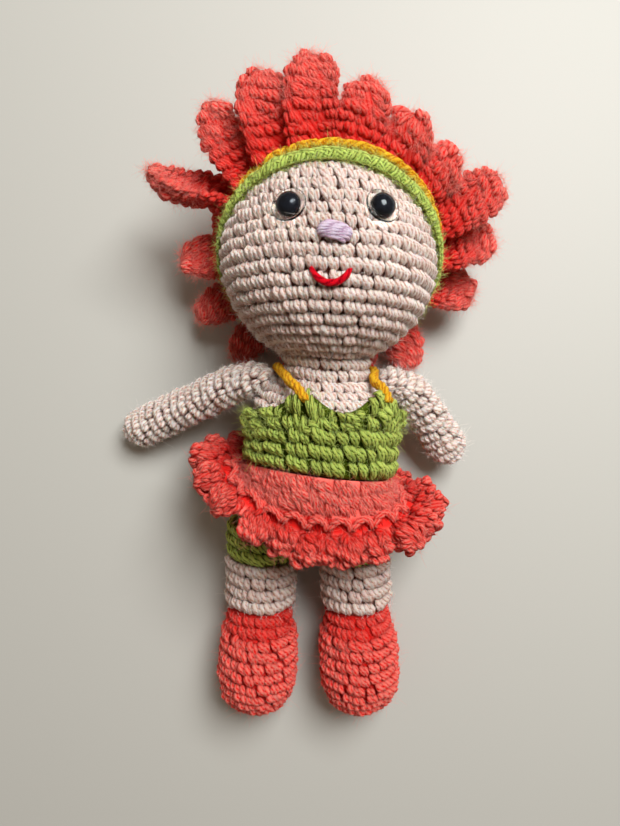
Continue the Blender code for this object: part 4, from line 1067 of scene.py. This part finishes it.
SKIRT_THICKNESS = 0.0030
SKIRT_START = WAIST_RADIUS + 0.0027
SKIRT_REACH = 0.0540
SKIRT_DROP = 0.0265
SKIRT_BAND = 0.16
BOBBLES = 22
BOBBLE_RADIUS = 0.0055
ARCH_RADIUS = 0.0015
HEM = (
    (-180.0, 0.60, 0.62),
    (-150.0, 0.74, 0.16),
    (-120.0, 1.0, -0.58),
    (-90.0, 1.04, -0.36),
    (-60.0, 0.88, 0.30),
    (-30.0, 0.64, 0.82),
    (0.0, 0.50, 1.0),
    (30.0, 0.62, 1.0),
    (60.0, 0.84, 0.84),
    (90.0, 0.98, 0.46),
    (120.0, 0.92, 0.14),
    (150.0, 0.72, 0.36),
    (180.0, 0.60, 0.62),
)
hem_degrees, hem_reach, hem_drop = (np.array(column) for column in zip(*HEM))


def eased(at, places, values):
    """Smooth steps between the values of a table."""
    k = np.clip(np.searchsorted(places, at, side="right") - 1, 0, len(places) - 2)
    part = np.clip((at - places[k]) / (places[k + 1] - places[k]), 0.0, 1.0)
    return values[k] + (values[k + 1] - values[k]) * part * part * (3.0 - 2.0 * part)


def skirt_place(turn, at):
    """Turns from straight ahead; lengths from the hem up to the band's top."""
    turn, at = np.broadcast_arrays(turn, at)
    degrees = np.degrees(np.mod(turn + np.pi, 2.0 * np.pi) - np.pi)
    s = np.clip(1.0 - at / skirt_place.lengths[-1], 0.0, 1.0)
    flare = np.clip((s - SKIRT_BAND) / (1.0 - SKIRT_BAND), 0.0, 1.0)
    reach = SKIRT_START + (eased(degrees, hem_degrees, hem_reach) * SKIRT_REACH - SKIRT_START) * flare**1.7
    rolled = turn - TORSO_ROLL
    level = -BODICE_DROP - 0.0006 - 0.0045 * np.minimum(s / SKIRT_BAND, 1.0)
    level = level - eased(degrees, hem_degrees, hem_drop) * SKIRT_DROP * flare
    level = level + waist_tilt(rolled) * np.clip(1.0 - s / 0.7, 0.0, 1.0)
    points = round_torso(rolled, level, reach)
    points[..., 2] = np.maximum(points[..., 2], SKIRT_THICKNESS / 2.0)
    return points


skirt_place.lengths = np.array((0.0, 0.0300))


def ball_form(centre, axis, front, radius):
    """A ball a little longer along its axis."""
    turns = np.radians(np.linspace(-86.0, 86.0, 30))
    return swept(centre + axis * (radius * 1.12 * np.sin(turns))[:, None], axis, front, radius * np.cos(turns))


BAND_STITCH = stitch_shape(foot=0.8, wide=1.0, fat=0.72, slant=-0.42, flat=0.6)
HEM_STITCH = stitch_shape(foot=0.4, fat=0.90, slant=-0.20)
BOBBLE_STITCH = stitch_shape(foot=0.6, wide=0.86, fat=0.72, slant=-0.20, flat=0.55, sides=4)
# Painted shade: the skirt's sheet is toned darkest behind the eyelets and dark elsewhere, where it shows between
# stitches.
tones = np.interp(np.linspace(0.0045, 0.0298, 24), (0.0080, 0.0095, 0.0140, 0.0155), (0.7, 0.10, 0.10, 0.8))
band = {"size": (0.0050, 0.0036), "shape": BAND_STITCH, "loose": 3.0}
hem = {"size": (0.0050, 0.0042), "shape": HEM_STITCH, "loose": 2.0}
eyelets = {"size": (0.0054, 0.0040), "shape": BOBBLE_STITCH, "loose": 2.0}
cloth = fabric_sheet(skirt_place, 0.0045, 0.0298, 0.0022, tones, rows=24)
# Painted light on the band's stitches, toned lighter, and painted shade on the hem row between the bobbles and on the
# stitches inside the eyelets.
made = cover(skirt_place, 0.0156, 0.0296, 71, out=0.0001, shade=1.28, **band)
made += cover(skirt_place, 0.0180, 0.0276, 74, out=0.0002, shade=1.36, **band)
made += cover(skirt_place, 0.0040, 0.0090, 72, out=-0.0006, shade=0.35, **hem)
made += fuzz(skirt_place, 0.0155, 0.0298, 2600, 73, length=0.0034, out=0.0012)
made += cover(skirt_place, 0.0092, 0.0148, 75, out=-0.0008, shade=0.10, **eyelets)
bowed = np.cos(np.linspace(-1.5, 1.5, 9))
for i in range(BOBBLES):
    draw = np.random.default_rng(760 + i)
    half = math.pi / BOBBLES * 0.96
    turns = 2.0 * math.pi * i / BOBBLES + np.linspace(-half, half, 9)
    arch = lifted(skirt_place, turns, 0.0100 + 0.0052 * bowed**0.7, 0.0008 + 0.0014 * bowed)
    made += twisted_cord(smooth_row(arch, 26), ARCH_RADIUS, 2.6, 700 + i)

    turn = 2.0 * math.pi * (i + 0.5 + draw.normal(0.0, 0.05)) / BOBBLES
    foot = lifted(skirt_place, turn, 0.0050, 0.0)
    axis = normalised(lifted(skirt_place, turn, 0.0090, 0.0) - foot)
    outward = lifted(skirt_place, turn, 0.0050, 0.001) - foot
    radius = BOBBLE_RADIUS * draw.normal(1.0, 0.06)
    centre = foot - axis * 0.0016 + normalised(outward) * 0.0014
    centre[2] = max(centre[2], radius - 0.0005)
    ball = ball_form(centre, axis, outward, radius)
    end = ball.lengths[-1]

    # Painted light and shade: each bobble is toned lighter at its lit tip and darker at its root, where it is shaded.
    def ball_painted_light_and_shade(at):
        return np.interp(at / end, (0.0, 0.5, 0.9), (1.28, 1.05, 0.15))

    look = {"shape": BOBBLE_STITCH, "out": -0.0002, "loose": 3.2, "shade": ball_painted_light_and_shade}
    made += shade_lining(ball, 0.0, end, out=-0.0005, turns=16, rows=10, tone=0.6)
    made += cover(ball, 0.0015, end - 0.001, 800 + i, (0.0040, 0.0038), **look)
    made += fuzz(ball, 0.0, end, 60, 840 + i, length=0.0026)
laid = {"flat": (0.195, 0.0253), "held": "draped", "rests_on": ["bodice_crochet"]}
spread("skirt", "torso", "coral_yarn", made, cloth, **laid)


# Legs: green rounds at the hip, bare rounds below, and a coral boot, all worked in one tube over loose fill.
# The boots bulge over the toe and lie with their heels on the table.

HIP_BALL = 0.0152
LEG_RADIUS = 0.0144
LEG_FOOT_RADIUS = 0.0142
LEG_SPLAY = math.radians(2.6)
LEG_SLOPE = math.radians(9.447)
PANTS_LEG = 0.0100
LEG_END = 0.0315
BOOT_LENGTH = 0.0490
BOOT_RADIUS = 0.0158
BOOT_TOE = 0.0052
BOOT_OUTLINE = (
    (0.0, 0.90, 0.90, 0.0),
    (0.16, 0.97, 0.98, 0.12),
    (0.34, 1.03, 1.08, 0.42),
    (0.52, 1.05, 1.14, 0.74),
    (0.68, 1.01, 1.10, 0.84),
    (0.82, 0.88, 0.92, 0.62),
    (0.92, 0.64, 0.64, 0.30),
    (0.98, 0.34, 0.34, 0.10),
    (1.0, 0.06, 0.06, 0.04),
)


def limb(name, body, slot, form, inside, first, last, seed, size, ends, fill=0.8, **look):
    """One padded part of a limb: its inner side toned dark as painted shade, its stitches and the loose fibre of its
    yarn.
    """
    sunk, turns, rows = inside
    made = shade_lining(form, 0.0, form.lengths[-1], out=sunk, turns=turns, rows=rows)
    made += cover(form, first, last, seed, size, **look)
    made += fuzz(form, *ends[:4], length=ends[4])
    worked(f"{name}_crochet", body, slot, made, name)


for label, sign in (("left", -1.0), ("right", 1.0)):
    body = f"leg_{label}"
    hip = np.array(joints[f"leg_{label}_lift"]["pos_m"])
    splay = LEG_SPLAY * sign
    aside, below = math.sin(splay) * math.cos(LEG_SLOPE), -math.cos(splay) * math.cos(LEG_SLOPE)
    down = np.array((aside, below, -math.sin(LEG_SLOPE)))
    up_front = normalised(FRONT - down * np.dot(FRONT, down))
    dome_turns = np.radians(np.linspace(1.0, 88.0, 20))
    along = np.concatenate([[PANTS_LEG, PANTS_LEG / 2.0], -HIP_BALL * np.sin(dome_turns)])
    radii = np.concatenate([[LEG_RADIUS, LEG_RADIUS], HIP_BALL * np.cos(dome_turns)])
    thigh = swept(hip + down * along[:, None], -down, up_front, radii)
    worn = (f"pants_leg_{label}", body, "green_yarn", thigh, (-0.0022, 28, 24), 0.0003, 0.0160, 101, (0.0052, 0.0052))
    limb(*worn, (0.0, 0.012, 240, 102, 0.0022), shape=SLANT_STITCH, out=-0.0010)

    along = np.linspace(LEG_END, PANTS_LEG, 24)
    radii = np.interp(along, (PANTS_LEG, LEG_END), (LEG_RADIUS, LEG_FOOT_RADIUS))
    shin = swept(hip + down * along[:, None], -down, up_front, radii)
    end = shin.lengths[-1]
    bare = (f"leg_{label}", body, "skin_yarn", shin, (-0.0022, 28, 12), 0.0002, end, 105 + int(sign), (0.0054, 0.0053))
    # Painted shade: the bare legs are toned darker, as they lie in the skirt's shade.
    limb(*bare, (0.0, end, 420, 107, 0.0022), out=-0.0009, shade=0.84)

    table = smooth_row(BOOT_OUTLINE, 60)[::-1]
    centres = hip + down * (LEG_END + 0.0003 + table[:, 0] * BOOT_LENGTH)[:, None]
    centres = centres + up_front * (table[:, 3] * BOOT_TOE)[:, None]
    boot = swept(centres, -down, up_front, table[:, 1] * BOOT_RADIUS, table[:, 2] * BOOT_RADIUS)
    end = boot.lengths[-1]

    def cuff_bulge(turn, at):
        return -0.0012 * np.clip((at - end + 0.0115) / 0.003, 0.0, 1.0)

    # Painted light and shade: the boot is toned a little lighter, and its cuff rounds much darker, where the skirt
    # shades them.
    def cuff_painted_shade(at):
        return 1.05 - 0.6 * np.clip((at - end + 0.0125) / 0.004, 0.0, 1.0)

    look = {"shape": SLANT_STITCH, "out": -0.0012, "loose": 1.5, "bulge": cuff_bulge, "shade": cuff_painted_shade, "fill": 0.85}
    shod = (f"boot_{label}", body, "coral_yarn", boot, (-0.0024, 32, 30), 0.0022, end - 0.001, 110 + int(sign))
    limb(*shod, (0.0046, 0.0050), (0.001, end, 900, 113, 0.0028), **look)


# Arms: slim tubes of small skin-coloured stitches over loose fill, sewn on at the shoulder and rounded at the hand.
# Each route lists points from the shoulder in shares of an arm's length.

ARM_RADIUS = 0.0078
ARM_LENGTH = 0.0700
ARM_THICKNESS = ((0.0, 0.76), (0.14, 0.80), (0.34, 0.92), (0.6, 0.98), (0.82, 1.04), (1.0, 1.04))
ARM_ROUTES = {
    "left": ((0, 0, 0), (-0.12, -0.01, -0.06), (-0.34, -0.10, -0.21), (-0.58, -0.20, -0.34), (-0.77, -0.28, -0.42)),
    "right": ((0, 0, 0), (0.10, -0.03, -0.03), (0.20, -0.13, -0.10), (0.30, -0.26, -0.17), (0.38, -0.37, -0.21)),
}

for label, route in ARM_ROUTES.items():
    shoulder = np.array(joints[f"arm_{label}_swing"]["pos_m"])
    line = smooth_row(shoulder + np.array(route) * ARM_LENGTH, 40)
    radii = np.interp(np.linspace(0.0, 1.0, 40), *zip(*ARM_THICKNESS)) * ARM_RADIUS
    caps = np.radians(np.linspace(86.0, 6.0, 12))
    start, stop = normalised(line[0] - line[1]), normalised(line[-1] - line[-2])
    first = line[0] + start * (radii[0] * np.sin(caps))[:, None]
    last = line[-1] + stop * (radii[-1] * np.sin(caps[::-1]))[:, None]
    line = np.vstack([first, line, last])[::-1]
    radii = np.concatenate([radii[0] * np.cos(caps), radii, radii[-1] * np.cos(caps[::-1])])[::-1]
    arm = swept(line, normalised(np.gradient(line, axis=0)), FRONT, radii)
    end = arm.lengths[-1]
    name = f"arm_{label}"
    sleeve = (name, name, "skin_yarn", arm, (-0.0020, 20, 50), 0.0018, end - 0.002, 121, (0.0042, 0.0042))
    # Painted light: the arms are toned lighter, where the light falls on them.
    limb(*sleeve, (0.0, end, 2600, 122, 0.0020), out=-0.0010, loose=1.3, shade=1.10)


# Fill: loose white polyester fibre inside the head, the torso, the arms and the legs.
# It is wholly enclosed, so its pieces stay as in the CAD and only take a matt, fibrous white.

FILL_COLOUR = (0.86, 0.86, 0.84)
FILL_SCALE = 500.0
FILL_BUMP = 0.0006

FILL, fill_tree, fill_shader = new_finish("polyester_fibre")
fibre_place = added_node(fill_tree, "ShaderNodeTexCoord").outputs["Object"]
fibres = added_node(fill_tree, "ShaderNodeTexNoise", {"Vector": fibre_place, "Scale": FILL_SCALE}).outputs["Fac"]
fibre_bump = added_node(fill_tree, "ShaderNodeBump", {"Distance": FILL_BUMP, "Height": fibres}).outputs["Normal"]
feed(fill_tree, fill_shader, {"Base Color": FILL_COLOUR, "Roughness": 0.95, "Normal": fibre_bump})
for name, node in frame["nodes"].items():
    if name.endswith("_stuffing"):
        finished(node, FILL)
